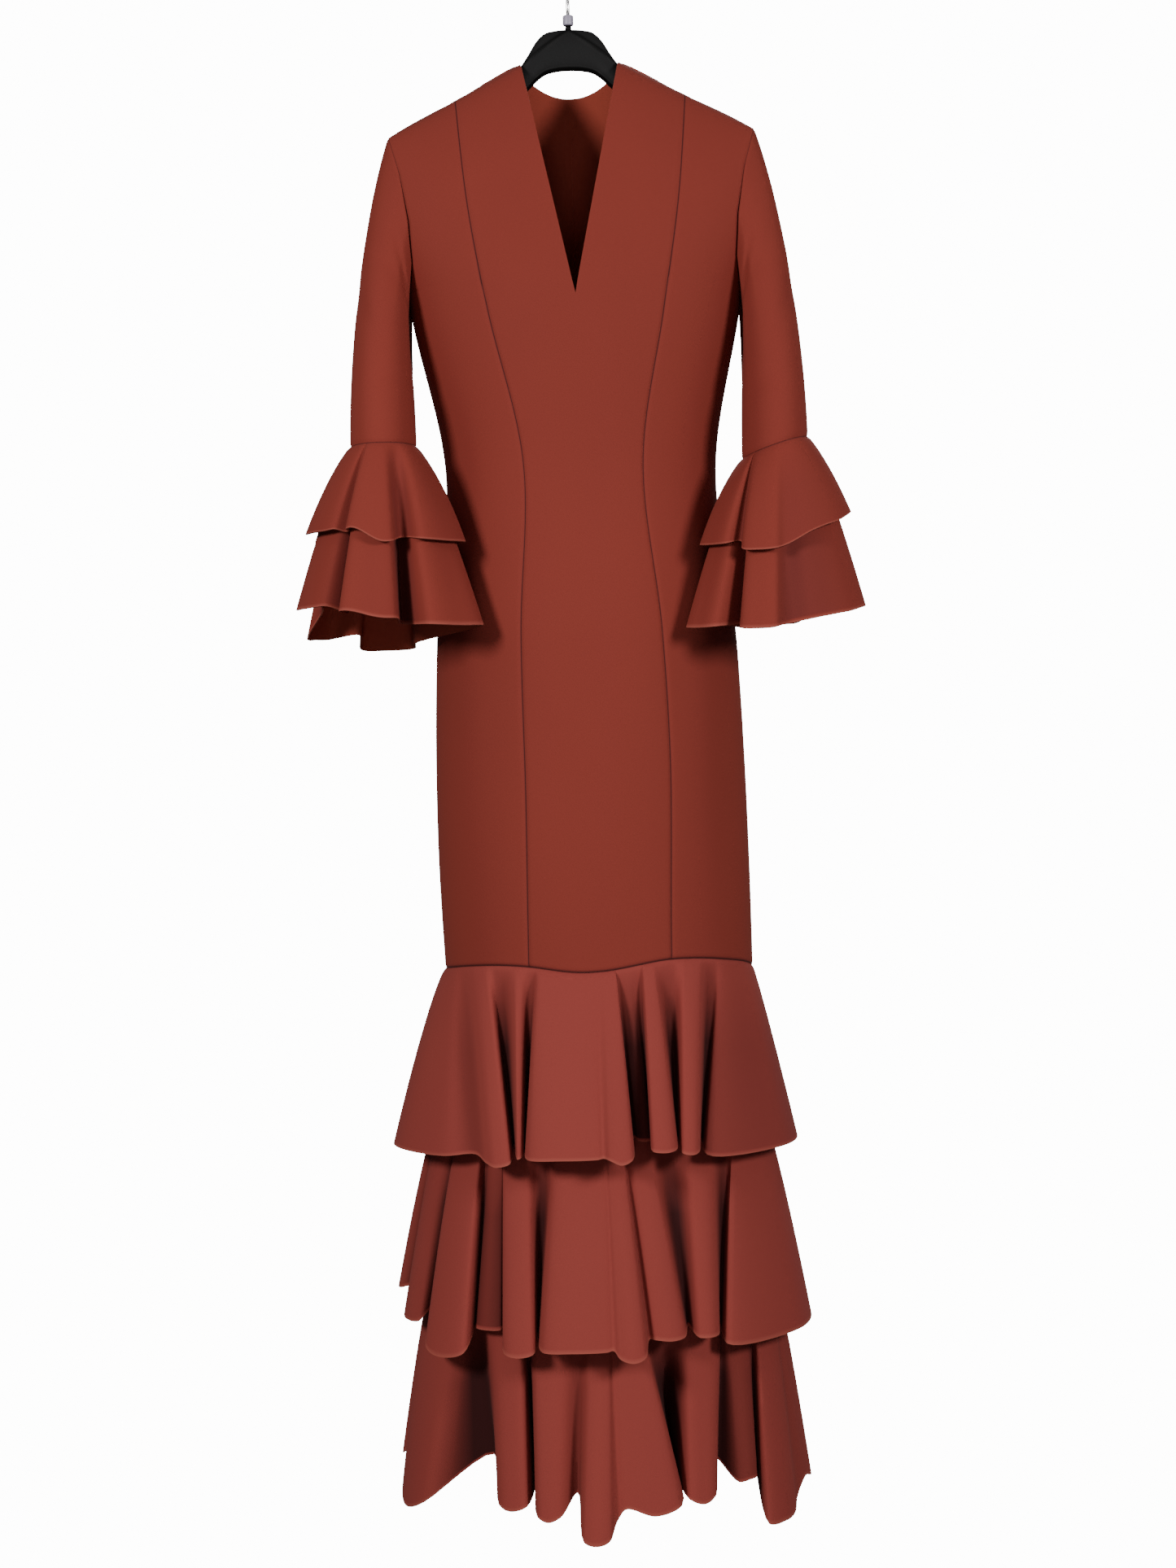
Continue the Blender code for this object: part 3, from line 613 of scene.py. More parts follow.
def crepe_material(name, colour, shade, drift, folded=True):
    made = plain_material(name, colour, 0.88)
    tree = made.node_tree
    shader = tree.nodes["Principled BSDF"]
    shader.inputs["Sheen Weight"].default_value = 0.04
    shader.inputs["Sheen Roughness"].default_value = 0.45
    shader.inputs["Sheen Tint"].default_value = (0.85, 0.42, 0.38, 1.0)
    shader.inputs["Specular IOR Level"].default_value = 0.25
    face = tree.nodes.new("ShaderNodeGroup")
    face.node_tree = crepe_face
    face.inputs["Colour"].default_value = colour
    face.inputs["Shade"].default_value = shade
    face.inputs["Drift"].default_value = drift
    # The depth attribute carries the painted shade of folds and seam lines, and the hem mark
    if folded:
        fold = tree.nodes.new("ShaderNodeAttribute")
        fold.attribute_name = "depth"
        tree.links.new(fold.outputs["Fac"], face.inputs["Depth"])
    bump = tree.nodes.new("ShaderNodeBump")
    bump.inputs["Strength"].default_value = 0.35
    bump.inputs["Distance"].default_value = 0.0003
    tree.links.new(face.outputs["Colour"], shader.inputs["Base Color"])
    tree.links.new(face.outputs["Roughness"], shader.inputs["Roughness"])
    tree.links.new(face.outputs["Height"], bump.inputs["Height"])
    tree.links.new(bump.outputs["Normal"], shader.inputs["Normal"])
    return made


crepe = crepe_material("rust crepe", RUST, RUST_SHADE, 0.45)
# The back of the cloth is painted lighter, as if lit inside the cuffs
crepe_back_painted_lighter = crepe_material("back of the crepe, painted lighter", CREPE_BACK_PAINTED_LIGHTER, BACK_SHADE_PAINTED_LIGHTER, 0.4, folded=False)
cut_edge = crepe_material("cut edge of the crepe", CUT_EDGE, CUT_SHADE, 0.3, folded=False)


def cloth_piece(bm, name, node, flat, face=crepe):
    # Gives the sheet its thickness inwards, with finishes of their own on the cut edge and the back
    piece = object_from(bm, name, face, cut_edge, crepe_back_painted_lighter)
    wall = piece.modifiers.new("cloth wall", "SOLIDIFY")
    wall.thickness = CLOTH
    wall.offset = -1
    wall.use_quality_normals = True
    wall.material_offset_rim = 1
    wall.material_offset = 2
    graph = bpy.context.evaluated_depsgraph_get()
    solid = bpy.data.meshes.new_from_object(piece.evaluated_get(graph))
    piece.modifiers.clear()
    piece.data = solid
    solid.set_sharp_from_angle(angle=math.radians(SHARP_ANGLE))
    in_place_of(piece, node)


def from_neck_edge(across, side):
    # Columns beside the open neck crowd towards the princess seam only
    if side > 0:
        return toward_edges(0.5 + across / 2) * 2 - 1
    return 1 - 2 * toward_edges(across / 2)


def front_centre():
    bm = bmesh.new()
    tube_patch(bm, lambda d: -princess_bearing(d), princess_bearing, FRONT_COLUMNS, FRONT_NECK_DROP)
    for side in (1, -1):
        def place(across, down, side=side):
            share = from_neck_edge(across, side)
            top = shoulder_line(NECK_X + (PRINCESS_TOP_X - NECK_X) * share)
            drop = top + (FRONT_NECK_DROP - top) * down
            inner = bearing_of(neck_edge(drop), drop)
            outer = princess_bearing(drop)
            width = metres_across(outer - inner)
            bearing = inner + (outer - inner) * share
            return body_point(side * bearing, drop, groove(width * (1 - share)))

        def dark(across, down, side=side):
            return seam_line(SIDE_LINE_REACH * (1 - from_neck_edge(across, side)))

        lay_patch(bm, *NECK_GRID, place, dark)
    weld(bm)
    return bm


def side_panel(back, side):
    # Princess seam to side seam, up to the shoulder seam and the armhole
    def facing(bearing):
        return side * (180 - bearing if back else bearing)

    bm = bmesh.new()
    forward = (side > 0) != back

    def place(across, down):
        share = toward_edges(across if forward else 1 - across)
        top = shoulder_line(PRINCESS_TOP_X + (SHOULDER_X - PRINCESS_TOP_X) * share)
        drop = top + (UNDERARM_DROP - top) * down ** SHOULDER_CROWDING
        inner = princess_bearing(drop)
        outer = min(bearing_of(armhole_x(drop), drop), 90)
        width = metres_across(outer - inner)
        bearing = inner + (outer - inner) * share
        return body_point(facing(bearing), drop, groove(width * share) + groove(width * (1 - share)))

    def dark(across, down):
        share = toward_edges(across if forward else 1 - across)
        sides = (SIDE_LINE_REACH * share, SIDE_LINE_REACH * (1 - share))
        return seam_line(*sides, SHOULDER_LINE_REACH * down)

    lay_patch(bm, *SHOULDER_GRID, place, dark)
    seams = {
        (False, 1): (princess_bearing, lambda d: 90.0),
        (False, -1): (lambda d: -90.0, lambda d: -princess_bearing(d)),
        (True, 1): (lambda d: 90.0, lambda d: 180 - princess_bearing(d)),
        (True, -1): (lambda d: 180 + princess_bearing(d), lambda d: 270.0),
    }[(back, side)]
    tube_patch(bm, *seams, PANEL_COLUMNS, UNDERARM_DROP)
    weld(bm)
    return bm


def back_panel(side):
    bm = bmesh.new()

    def place(across, down):
        share = toward_edges(1 - across if side > 0 else across)
        x = PRINCESS_TOP_X * share
        top = shoulder_line(x) if x >= NECK_X else BACK_NECK_DROP * (1 - (x / NECK_X) ** 2)
        drop = top + (UNDERARM_DROP - top) * down ** SHOULDER_CROWDING
        outer = princess_bearing(drop)
        width = metres_across(outer)
        sunk = groove(width * share) + groove(width * (1 - share))
        return body_point(180 - side * outer * share, drop, sunk)

    def dark(across, down):
        share = toward_edges(1 - across if side > 0 else across)
        return seam_line(BACK_LINE_REACH * share, BACK_LINE_REACH * (1 - share))

    lay_patch(bm, *SHOULDER_GRID, place, dark)
    seams = {
        1: (lambda d: 180 - princess_bearing(d), lambda d: 180.0),
        -1: (lambda d: 180.0, lambda d: 180 + princess_bearing(d)),
    }[side]
    tube_patch(bm, *seams, PANEL_COLUMNS, UNDERARM_DROP)
    weld(bm)
    return bm


cloth_piece(
    front_centre(), "panel_front_centre", "front_centre", (0.240, 0.930)
)
for side_name, side in (("right", 1), ("left", -1)):
    cloth_piece(
        back_panel(side), f"panel_back_{side_name}", f"back_{side_name}", (0.125, 0.930),
    )
for side_name, side in (("right", 1), ("left", -1)):
    for place_name, back in (("front", False), ("back", True)):
        node = f"{place_name}_side_{side_name}"
        cloth_piece(
            side_panel(back, side), f"panel_{node}", node, (0.190, 0.900)
        )

# Sleeves
# Each is one piece set into the armhole, slim to the elbow, closed by a seam under the arm.
# It hangs forward and a little away from the body, as the cut makes it do.
CUFF_CENTRE = (0.195, -0.065)
CUFF_HALF_WIDTH = 0.033
CUFF_HALF_DEPTH = 0.047
SLEEVE_LENGTH = 0.32
SLEEVE_RADIUS = 0.045
SLEEVE_GRID = (96, 100)
CREASE_REACH = 46

# Drop and slant of the elbow seam
CUFF_SEAM = {"right": (0.405, 0.010), "left": (0.394, 0.000)}

# How the inner and the outer side leave the armhole and come to the elbow
SLEEVE_LEAVES = (Vector((0.015, -0.03, -0.16)), Vector((0.080, -0.03, -0.25)))
SLEEVE_ARRIVES = (Vector((0.0, -0.02, -0.18)), Vector((0.0, -0.02, -0.30)))

# Soft creases of the sleeves: bearing, share of the length, height in metres, slope, depth
SLEEVE_CREASES = [
    (20, 0.30, 0.016, 0.35, 0.0016),
    (-40, 0.22, 0.014, -0.30, 0.0022),
    (60, 0.55, 0.018, -0.25, 0.0012),
    (-20, 0.72, 0.016, 0.30, 0.0015),
    (170, 0.35, 0.016, 0.30, 0.0018),
    (210, 0.62, 0.016, -0.30, 0.0016),
]


def armhole_point(ring_bearing):
    back = ring_bearing > 90
    t = (ring_bearing - 90) / 180 if back else (90 - ring_bearing) / 180
    drop = SHOULDER_DROP + (UNDERARM_DROP - SHOULDER_DROP) * t
    bearing = bearing_of(armhole_x(drop), drop)
    return body_point(180 - bearing if back else bearing, drop)


def cuff_ring_point(side, bearing, inset=0.0):
    drop, sag = CUFF_SEAM[side]
    angle = math.radians(bearing)
    x = CUFF_CENTRE[0] + (CUFF_HALF_WIDTH - inset) * math.sin(angle)
    y = CUFF_CENTRE[1] - (CUFF_HALF_DEPTH - inset) * math.cos(angle)
    return Vector((x, y, NECK_Z - drop + sag * math.sin(angle)))


def sleeve_crease(bearing, t):
    total = 0.0
    for middle, share, tall, slope, depth in SLEEVE_CREASES:
        off = (bearing - middle + 180) % 360 - 180
        across = math.exp(-(off / CREASE_REACH) ** 2)
        up = (t - share) * SLEEVE_LENGTH - slope * math.radians(off) * SLEEVE_RADIUS
        total += depth * across * math.exp(-(up / tall) ** 2)
    return total


def mirror_points(bm):
    bmesh.ops.scale(bm, vec=(-1, 1, 1), verts=bm.verts)
    bmesh.ops.reverse_faces(bm, faces=bm.faces)


def sleeve_mesh(side):
    def place(across, t):
        # A smooth run from the armhole to the elbow seam
        bearing = 360 * across - 90
        angle = math.radians(bearing)
        outer = (1 + math.sin(angle)) / 2
        start = armhole_point(bearing)
        stop = cuff_ring_point(side, bearing)
        leave = SLEEVE_LEAVES[0].lerp(SLEEVE_LEAVES[1], outer)
        arrive = SLEEVE_ARRIVES[0].lerp(SLEEVE_ARRIVES[1], outer)
        point = start * (2 * t ** 3 - 3 * t ** 2 + 1) + leave * (t ** 3 - 2 * t ** 2 + t)
        point = point + stop * (3 * t ** 2 - 2 * t ** 3) + arrive * (t ** 3 - t ** 2)
        inward = Vector((-math.sin(angle), math.cos(angle), 0))
        sunk = sleeve_crease(bearing, t) + groove(SLEEVE_LENGTH * t) + groove(SLEEVE_LENGTH * (1 - t))
        return point + inward * sunk

    bm = bmesh.new()
    lay_patch(bm, *SLEEVE_GRID, place)
    weld(bm)
    if side == "left":
        mirror_points(bm)
    return bm


for side_name in ("right", "left"):
    cloth_piece(
        sleeve_mesh(side_name), f"cloth_sleeve_{side_name}", f"sleeve_{side_name}", (0.300, 0.330),
    )

# Cuffs
# Two circular flounces in one seam at each elbow, cut in a curve so that they fall in deep folds.
# Their hems are raw cut edges, as the crepe doesn't fray.
FLARE_POWER = 0.80
FOLD_EDGE = 0.982
EDGE_SHARE = 0.8
SEAM_SCALE = 50000
CUFF_LAP = 0.0023
CUFF_SPREAD = 0.0060
CUFF_VALLEY_RISE = 0.004
CUFF_FILL = 0.20
CUFF_FULL = 0.090
CUFF_STEPS = (9, 9, 7, 7)
CUFF_ROWS = 44
CUFF_FOLDS_REACH = (0.086, 0.109)
# Painted shade in the cuffs' folds: its gain, cap and onset, and the upper flounce's share of it
CUFF_DEPTH_GAIN = 2.9
CUFF_DEEPEST = 0.76
CUFF_ONSET = 2.0
CUFF_UPPER_LENGTH = 0.1
UPPER_SHADE = 0.55
FOLD_SHADE_POWER = 0.7
HEM_ROW = 0.999
LOWER_HEM_LIFT = 0.6

# Start and end bearing at the seam, then start, end and valley bearing at the hem, fold radius,
# valley radius, lower hem drop, upper hem drop
CUFF_FOLDS = {
    "right": [
        (-100, -48, -60, -38, -33, 0.112, 0.074, 0.587, 0.506),
        (-36, -5, -25, -6, 0.5, 0.106, 0.089, 0.589, 0.512),
        (22, 84, 24, 78, 94, 0.088, 0.066, 0.582, 0.499),
        (118, 140, 118, 140, 152, 0.084, 0.062, 0.574, 0.484),
        (164, 192, 164, 190, 234, 0.100, 0.036, 0.588, 0.498),
    ],
    "left": [
        (-105, -46, -59, -24.5, -17, 0.116, 0.061, 0.578, 0.494),
        (-4, 20, -8, 24, 29, 0.102, 0.074, 0.571, 0.496),
        (30, 84, 38, 80, 96, 0.092, 0.066, 0.556, 0.481),
        (108, 134, 108, 134, 146, 0.090, 0.060, 0.582, 0.486),
        (160, 194, 160, 190, 234, 0.102, 0.036, 0.592, 0.500),
    ],
}

# Bearing and how far each upper hem is lifted there, the lower hem by LOWER_HEM_LIFT of it
CUFF_HEM_LIFT = {
    "right": [
        (-180, 0.020), (-140, 0.020), (-110, 0.0), (-100, 0.003), (-60, 0.003), (-30, 0.0), (5, 0.0),
        (26, 0.005), (43, 0.013), (80, 0.027), (100, 0.025), (140, 0.012), (165, 0.022), (180, 0.020),
    ],
    "left": [(-12, 0.0), (-4, 0.0), (24, 0.014), (36, 0.001), (60, 0.0), (95, 0.0)],
}


def loop_point(p0, p1, p2, p3, t):
    # Centripetal spline between p1 and p2
    knots = [0.0]
    for a, b in ((p0, p1), (p1, p2), (p2, p3)):
        knots.append(knots[-1] + max((b - a).length, 1e-9) ** 0.5)
    t0, t1, t2, t3 = knots
    at = t1 + (t2 - t1) * t
    a1 = p0 * ((t1 - at) / (t1 - t0)) + p1 * ((at - t0) / (t1 - t0))
    a2 = p1 * ((t2 - at) / (t2 - t1)) + p2 * ((at - t1) / (t2 - t1))
    a3 = p2 * ((t3 - at) / (t3 - t2)) + p3 * ((at - t2) / (t3 - t2))
    b1 = a1 * ((t2 - at) / (t2 - t0)) + a2 * ((at - t0) / (t2 - t0))
    b2 = a2 * ((t3 - at) / (t3 - t1)) + a3 * ((at - t1) / (t3 - t1))
    return b1 * ((t2 - at) / (t2 - t1)) + b2 * ((at - t1) / (t2 - t1))


def hem_loop(folds, centre, steps):
    # Points along the hem: x, y, drop, and the bearing of the ray's start at the seam
    knots = []
    for row, after in zip(folds, folds[1:] + folds[:1]):
        seam_left, seam_right, left, right, valley, radius, deep, drop, valley_drop = row
        seam_next = after[0] + (360 if after is folds[0] else 0)
        edge_drop = drop * EDGE_SHARE + valley_drop * (1 - EDGE_SHARE)
        for seam_bearing, bearing, reach, low in (
            (seam_left, left, radius * FOLD_EDGE, edge_drop),
            ((seam_left + seam_right) / 2, (left + right) / 2, radius, drop),
            (seam_right, right, radius * FOLD_EDGE, edge_drop),
            ((seam_right + seam_next) / 2, valley, deep, valley_drop),
        ):
            angle = math.radians(bearing)
            x = centre[0] + reach * math.sin(angle)
            y = centre[1] - reach * math.cos(angle)
            knots.append(Vector((x, y, low, seam_bearing / SEAM_SCALE)))
    closing = Vector((0, 0, 0, 360 / SEAM_SCALE))
    ring = [knots[-1] - closing] + knots + [knots[0] + closing, knots[1] + closing]
    points = []
    for i in range(len(knots)):
        pieces = steps[i % 4]
        for k in range(pieces):
            points.append(loop_point(*ring[i:i + 4], k / pieces))
    return points


def fold_depths(hem, centre, half_width, half_depth, gain, deepest=1.0):
    # How deep each hem point lies behind the outermost folds, from 0 to the deepest
    depths = []
    for point in hem:
        reach = math.hypot((point[0] - centre[0]) / half_width, (point[1] - centre[1]) / half_depth)
        depths.append(min(max((1 - reach) * gain, 0.0), deepest))
    return depths


def fold_shade(depth, down, onset):
    # The shade of a fold comes in down from the seam
    return depth * min(onset * down, 1.0) ** FOLD_SHADE_POWER


def cuff_meshes(side):
    long_folds = [row[:8] + (row[7] - CUFF_VALLEY_RISE,) for row in CUFF_FOLDS[side]]
    short_folds = [row[:7] + (row[8], row[8] - CUFF_VALLEY_RISE) for row in CUFF_FOLDS[side]]
    hem = hem_loop(long_folds, CUFF_CENTRE, CUFF_STEPS)
    short = hem_loop(short_folds, CUFF_CENTRE, CUFF_STEPS)
    lift = curve_through(CUFF_HEM_LIFT[side], 1)
    for points, share in ((hem, LOWER_HEM_LIFT), (short, 1.0)):
        for point in points:
            bearing = math.degrees(math.atan2(point[0] - CUFF_CENTRE[0], CUFF_CENTRE[1] - point[1]))
            point[2] -= lift(bearing) * share
    tops = [cuff_ring_point(side, point[3] * SEAM_SCALE, CUFF_LAP) for point in hem]
    # How deep each hem point lies, for the painted shade in the folds
    depths = fold_depths(hem, CUFF_CENTRE, *CUFF_FOLDS_REACH, CUFF_DEPTH_GAIN, CUFF_DEEPEST)
    count = len(hem)

    def on_lower(i, drop_share):
        # A point down a straight ray of the lower flounce
        top, low = tops[i], hem[i]
        flare = drop_share ** FLARE_POWER
        x = top[0] + (low[0] - top[0]) * flare
        y = top[1] + (low[1] - top[1]) * flare
        return Vector((x, y, top[2] + (NECK_Z - low[2] - top[2]) * drop_share))

    def lower_place(across, down):
        return on_lower(round(across * count) % count, down)

    def upper_place(across, down):
        i = round(across * count) % count
        part = (NECK_Z - short[i][2] - tops[i][2]) / (NECK_Z - hem[i][2] - tops[i][2]) * down
        here = on_lower(i, part)
        out = Vector((here[0] - CUFF_CENTRE[0], here[1] - CUFF_CENTRE[1], 0))
        fill = CUFF_FILL * down * max(CUFF_FULL - out.length, 0.0)
        sunk = groove(CUFF_UPPER_LENGTH * down)
        return here + out.normalized() * (CUFF_LAP + CUFF_SPREAD * down + fill - sunk)

    def lower_dark(across, down):
        if down > HEM_ROW:
            return HEM_MARK
        return fold_shade(depths[round(across * count) % count], down, CUFF_ONSET)

    def upper_dark(across, down):
        if down > HEM_ROW:
            return HEM_MARK
        return max(UPPER_SHADE * lower_dark(across, down), seam_line(CUFF_UPPER_LENGTH * down))

    made = []
    for place, dark in ((upper_place, upper_dark), (lower_place, lower_dark)):
        bm = bmesh.new()
        lay_patch(bm, count, CUFF_ROWS, place, dark)
        weld(bm)
        if side == "left":
            mirror_points(bm)
        made.append(bm)
    return made


for side_name in ("right", "left"):
    upper, lower = cuff_meshes(side_name)
    for bm, level, flat in ((upper, "upper", (0.430, 0.100)), (lower, "lower", (0.480, 0.185))):
        node = f"cuff_{level}_{side_name}"
        cloth_piece(bm, f"flounce_{node}", node, flat)

# Base skirt
# A plain tube of the same crepe that goes on from the knee seam under the flounces and carries
# the second and third of them.
SECOND_SEAM_DROP = 1.062
THIRD_SEAM_DROP = 1.240
LAP_GAP = 0.0008
SEAM_GAP = 0.0005
KNEE_BLEND = 0.15
BASE_GRID = (120, 40)

# Drop, middle, half width, half depth
BASE_SKIRT = [
    (0.908, 0.007, 0.1537, 0.1457),
    (SECOND_SEAM_DROP, 0.003, 0.1615, 0.1600),
    (THIRD_SEAM_DROP, 0.001, 0.1760, 0.1760),
]

base_centre = line_through(BASE_SKIRT, 1)
base_width = line_through(BASE_SKIRT, 2)
base_depth = line_through(BASE_SKIRT, 3)


def base_skirt_point(bearing, drop, out=0.0):
    angle = math.radians(bearing)
    x = base_centre(drop) + (base_width(drop) + out) * rounded(math.sin(angle))
    y = -(base_depth(drop) + out) * rounded(math.cos(angle))
    return Vector((x, y, NECK_Z - drop))


def base_skirt_mesh():
    def place(across, down):
        bearing = 360 * across
        top = knee_drop(bearing) + SEAM_GAP
        drop = top + (THIRD_SEAM_DROP - SEAM_GAP / 2 - top) * down
        blend = max(1 - down / KNEE_BLEND, 0.0)
        knee = body_point(bearing, drop, CLOTH + LAP_GAP)
        return base_skirt_point(bearing, drop).lerp(knee, blend)

    bm = bmesh.new()
    lay_patch(bm, *BASE_GRID, place)
    weld(bm)
    return bm


cloth_piece(
    base_skirt_mesh(), "cloth_base_skirt", "base_skirt", (1.050, 0.330)
)

# Skirt flounces
# Three circular flounces, each cut in rings and sewn on by its short inner edge, so that the
# longer hem falls in folds. The hems are raw cut edges and hang uneven.
SKIRT_CENTRE = (0.002, 0.0)
SKIRT_STEPS = (8, 8, 6, 6)
SKIRT_ROWS = 60
# Reach and onset of the painted shade in the flounces' folds
SKIRT_FOLDS_REACH = 0.209
SKIRT_ONSET = 2.2
ROW_CROWDING = 1.25
VALLEY_LAG = 0.35
FLOUNCE_LENGTH = 0.2
SEAM_SHADE = 0.6
# The flounces' crepe is the same cloth painted lighter, for the brighter light on the lower skirt
LOW_RUST_PAINTED_LIGHTER = (0.262, 0.0435, 0.0335, 1.0)
LOW_SHADE_PAINTED_LIGHTER = (0.205, 0.031, 0.0275, 1.0)

# Start and end bearing at the seam, then start, end and valley bearing at the hem, fold radius,
# valley radius, fold drop, valley drop
FLOUNCE_1 = [
    (-99, -66, -99, -47, -37, 0.210, 0.199, 1.093, 1.089),
    (-54, -44.5, -31.7, -24.6, -27.0, 0.211, 0.181, 1.099, 1.083),
    (-32.5, -28.0, -23.0, -21.3, -23.2, 0.208, 0.180, 1.091, 1.083),
    (-20.5, -3.0, -19.0, -0.5, 1.0, 0.215, 0.209, 1.091, 1.090),
    (0.7, 4.0, 2.6, 8.4, 10.8, 0.218, 0.178, 1.096, 1.075),
    (6.6, 10.2, 11.6, 15.6, 16.4, 0.189, 0.178, 1.078, 1.075),
    (13.9, 17.4, 14.0, 20.4, 24.8, 0.213, 0.180, 1.087, 1.079),
    (29.7, 37.9, 22.4, 27.2, 33.0, 0.212, 0.180, 1.091, 1.082),
    (49.0, 91, 31.0, 94, 101, 0.204, 0.182, 1.097, 1.080),
    (107, 121, 107, 121, 127, 0.206, 0.180, 1.092, 1.078),
    (133, 150, 133, 150, 157, 0.212, 0.179, 1.096, 1.076),
    (163, 174, 163, 174, 179, 0.209, 0.178, 1.090, 1.078),
    (185, 203, 185, 203, 210, 0.213, 0.180, 1.097, 1.077),
    (216, 229, 216, 229, 234, 0.207, 0.179, 1.091, 1.079),
    (239, 249, 239, 249, 255, 0.210, 0.183, 1.094, 1.080),
]
FLOUNCE_2 = [
    (-106, -88, -106, -90, -85, 0.211, 0.196, 1.244, 1.240),
    (-80, -64, -79, -63, -63.0, 0.208, 0.190, 1.263, 1.248),
    (-54, -43, -54.0, -39.0, -41.0, 0.220, 0.188, 1.285, 1.254),
    (-39, -34, -39.2, -30.6, -30.5, 0.200, 0.190, 1.258, 1.255),
    (-33.0, -25.6, -26.5, -18.4, -19.6, 0.220, 0.190, 1.278, 1.262),
    (-10.6, 0.5, -15.8, 0.6, 2.2, 0.222, 0.216, 1.272, 1.271),
    (1.6, 4.6, 3.8, 10.0, 12.2, 0.225, 0.203, 1.282, 1.264),
    (7.0, 12.5, 13.4, 21.6, 25.0, 0.212, 0.191, 1.266, 1.257),
    (30.4, 39.6, 25.4, 31.4, 36.0, 0.214, 0.190, 1.266, 1.262),
    (54.0, 92, 34.0, 95, 103, 0.214, 0.195, 1.278, 1.262),
    (110, 123, 110, 123, 129, 0.219, 0.193, 1.276, 1.255),
    (135, 146, 135, 146, 152, 0.214, 0.191, 1.268, 1.256),
    (158, 173, 158, 173, 179, 0.221, 0.190, 1.278, 1.254),
    (185, 195, 185, 195, 201, 0.215, 0.192, 1.270, 1.257),
    (207, 222, 207, 222, 229, 0.220, 0.193, 1.275, 1.255),
    (235, 242, 235, 242, 247, 0.213, 0.195, 1.262, 1.250),
]
FLOUNCE_3 = [
    (-114, -96, -114, -97, -91, 0.216, 0.200, 1.420, 1.408),
    (-86, -52, -84, -60, -40, 0.213, 0.172, 1.449, 1.385),
    (-35.3, -26.0, -30.6, -22.2, -27.5, 0.211, 0.144, 1.427, 1.403),
    (-20.4, -12.0, -19.0, -12.5, -8.8, 0.215, 0.193, 1.434, 1.410),
    (-2.0, 1.2, -6.4, 0.0, 1.9, 0.226, 0.210, 1.453, 1.435),
    (3.4, 8.0, 4.4, 19.4, 26.0, 0.214, 0.140, 1.430, 1.393),
    (25.8, 38.4, 21.8, 30.2, 37.5, 0.209, 0.172, 1.425, 1.393),
    (42.2, 51.0, 40.6, 48.6, 54.0, 0.197, 0.180, 1.414, 1.416),
    (58.0, 70.0, 47.6, 61.5, 68.4, 0.213, 0.202, 1.459, 1.448),
    (76, 97, 77, 96, 103, 0.207, 0.176, 1.441, 1.412),
    (110, 121, 110, 121, 127, 0.215, 0.170, 1.448, 1.405),
    (134, 147, 134, 147, 153, 0.212, 0.160, 1.440, 1.398),
    (159, 174, 159, 174, 180, 0.218, 0.165, 1.452, 1.402),
    (186, 196, 186, 196, 202, 0.210, 0.155, 1.436, 1.396),
    (208, 221, 208, 221, 226, 0.217, 0.168, 1.450, 1.404),
    (231, 238, 231, 238, 242, 0.212, 0.180, 1.438, 1.412),
]


def knee_seam(bearing):
    return body_point(bearing, knee_drop(bearing))


def second_seam(bearing):
    return base_skirt_point(bearing, SECOND_SEAM_DROP, CLOTH + LAP_GAP)


def third_seam(bearing):
    return base_skirt_point(bearing, THIRD_SEAM_DROP)


def flounce_mesh(folds, seam, depth_gain):
    hem = hem_loop(folds, SKIRT_CENTRE, SKIRT_STEPS)
    tops = [seam(point[3] * SEAM_SCALE) for point in hem]
    depths = fold_depths(hem, SKIRT_CENTRE, SKIRT_FOLDS_REACH, SKIRT_FOLDS_REACH, depth_gain)
    count = len(hem)

    def place(across, down):
        i = round(across * count) % count
        top, low = tops[i], hem[i]
        down = down ** ROW_CROWDING
        flare = down ** (FLARE_POWER + VALLEY_LAG * depths[i])
        x = top[0] + (low[0] - top[0]) * flare
        y = top[1] + (low[1] - top[1]) * flare
        full = NECK_Z - low[2] - top[2]
        out = Vector((x, y, 0)).normalized()
        return Vector((x, y, top[2] + full * down)) - out * groove(-full * down)

    def dark(across, down):
        down = down ** ROW_CROWDING
        if down > HEM_ROW:
            return HEM_MARK
        # Painted shade in the folds, and a faint dark line below the seam
        fold = fold_shade(depths[round(across * count) % count], down, SKIRT_ONSET)
        return max(fold, SEAM_SHADE * seam_line(FLOUNCE_LENGTH * down))

    bm = bmesh.new()
    lay_patch(bm, count, SKIRT_ROWS, place, dark)
    weld(bm)
    return bm


# A lighter copy of the crepe: painted light on the flounces
crepe_low_painted_lighter = crepe_material("rust crepe of the flounces, painted lighter", LOW_RUST_PAINTED_LIGHTER, LOW_SHADE_PAINTED_LIGHTER, 0.45)
# Each flounce with the gain of its fold depth, which sets its painted shade and the lag of its valleys
for name, folds, seam, depth_gain, carrier, flat in (
    ("flounce_1", FLOUNCE_1, knee_seam, 9.5, "front_centre", (1.300, 0.178)),
    ("flounce_2", FLOUNCE_2, second_seam, 13.0, "base_skirt", (1.300, 0.210)),
    ("flounce_3", FLOUNCE_3, third_seam, 7.2, "base_skirt", (1.450, 0.200)),
):
    bm = flounce_mesh(folds, seam, depth_gain)
    cloth_piece(bm, f"skirt_{name}", name, flat, face=crepe_low_painted_lighter)

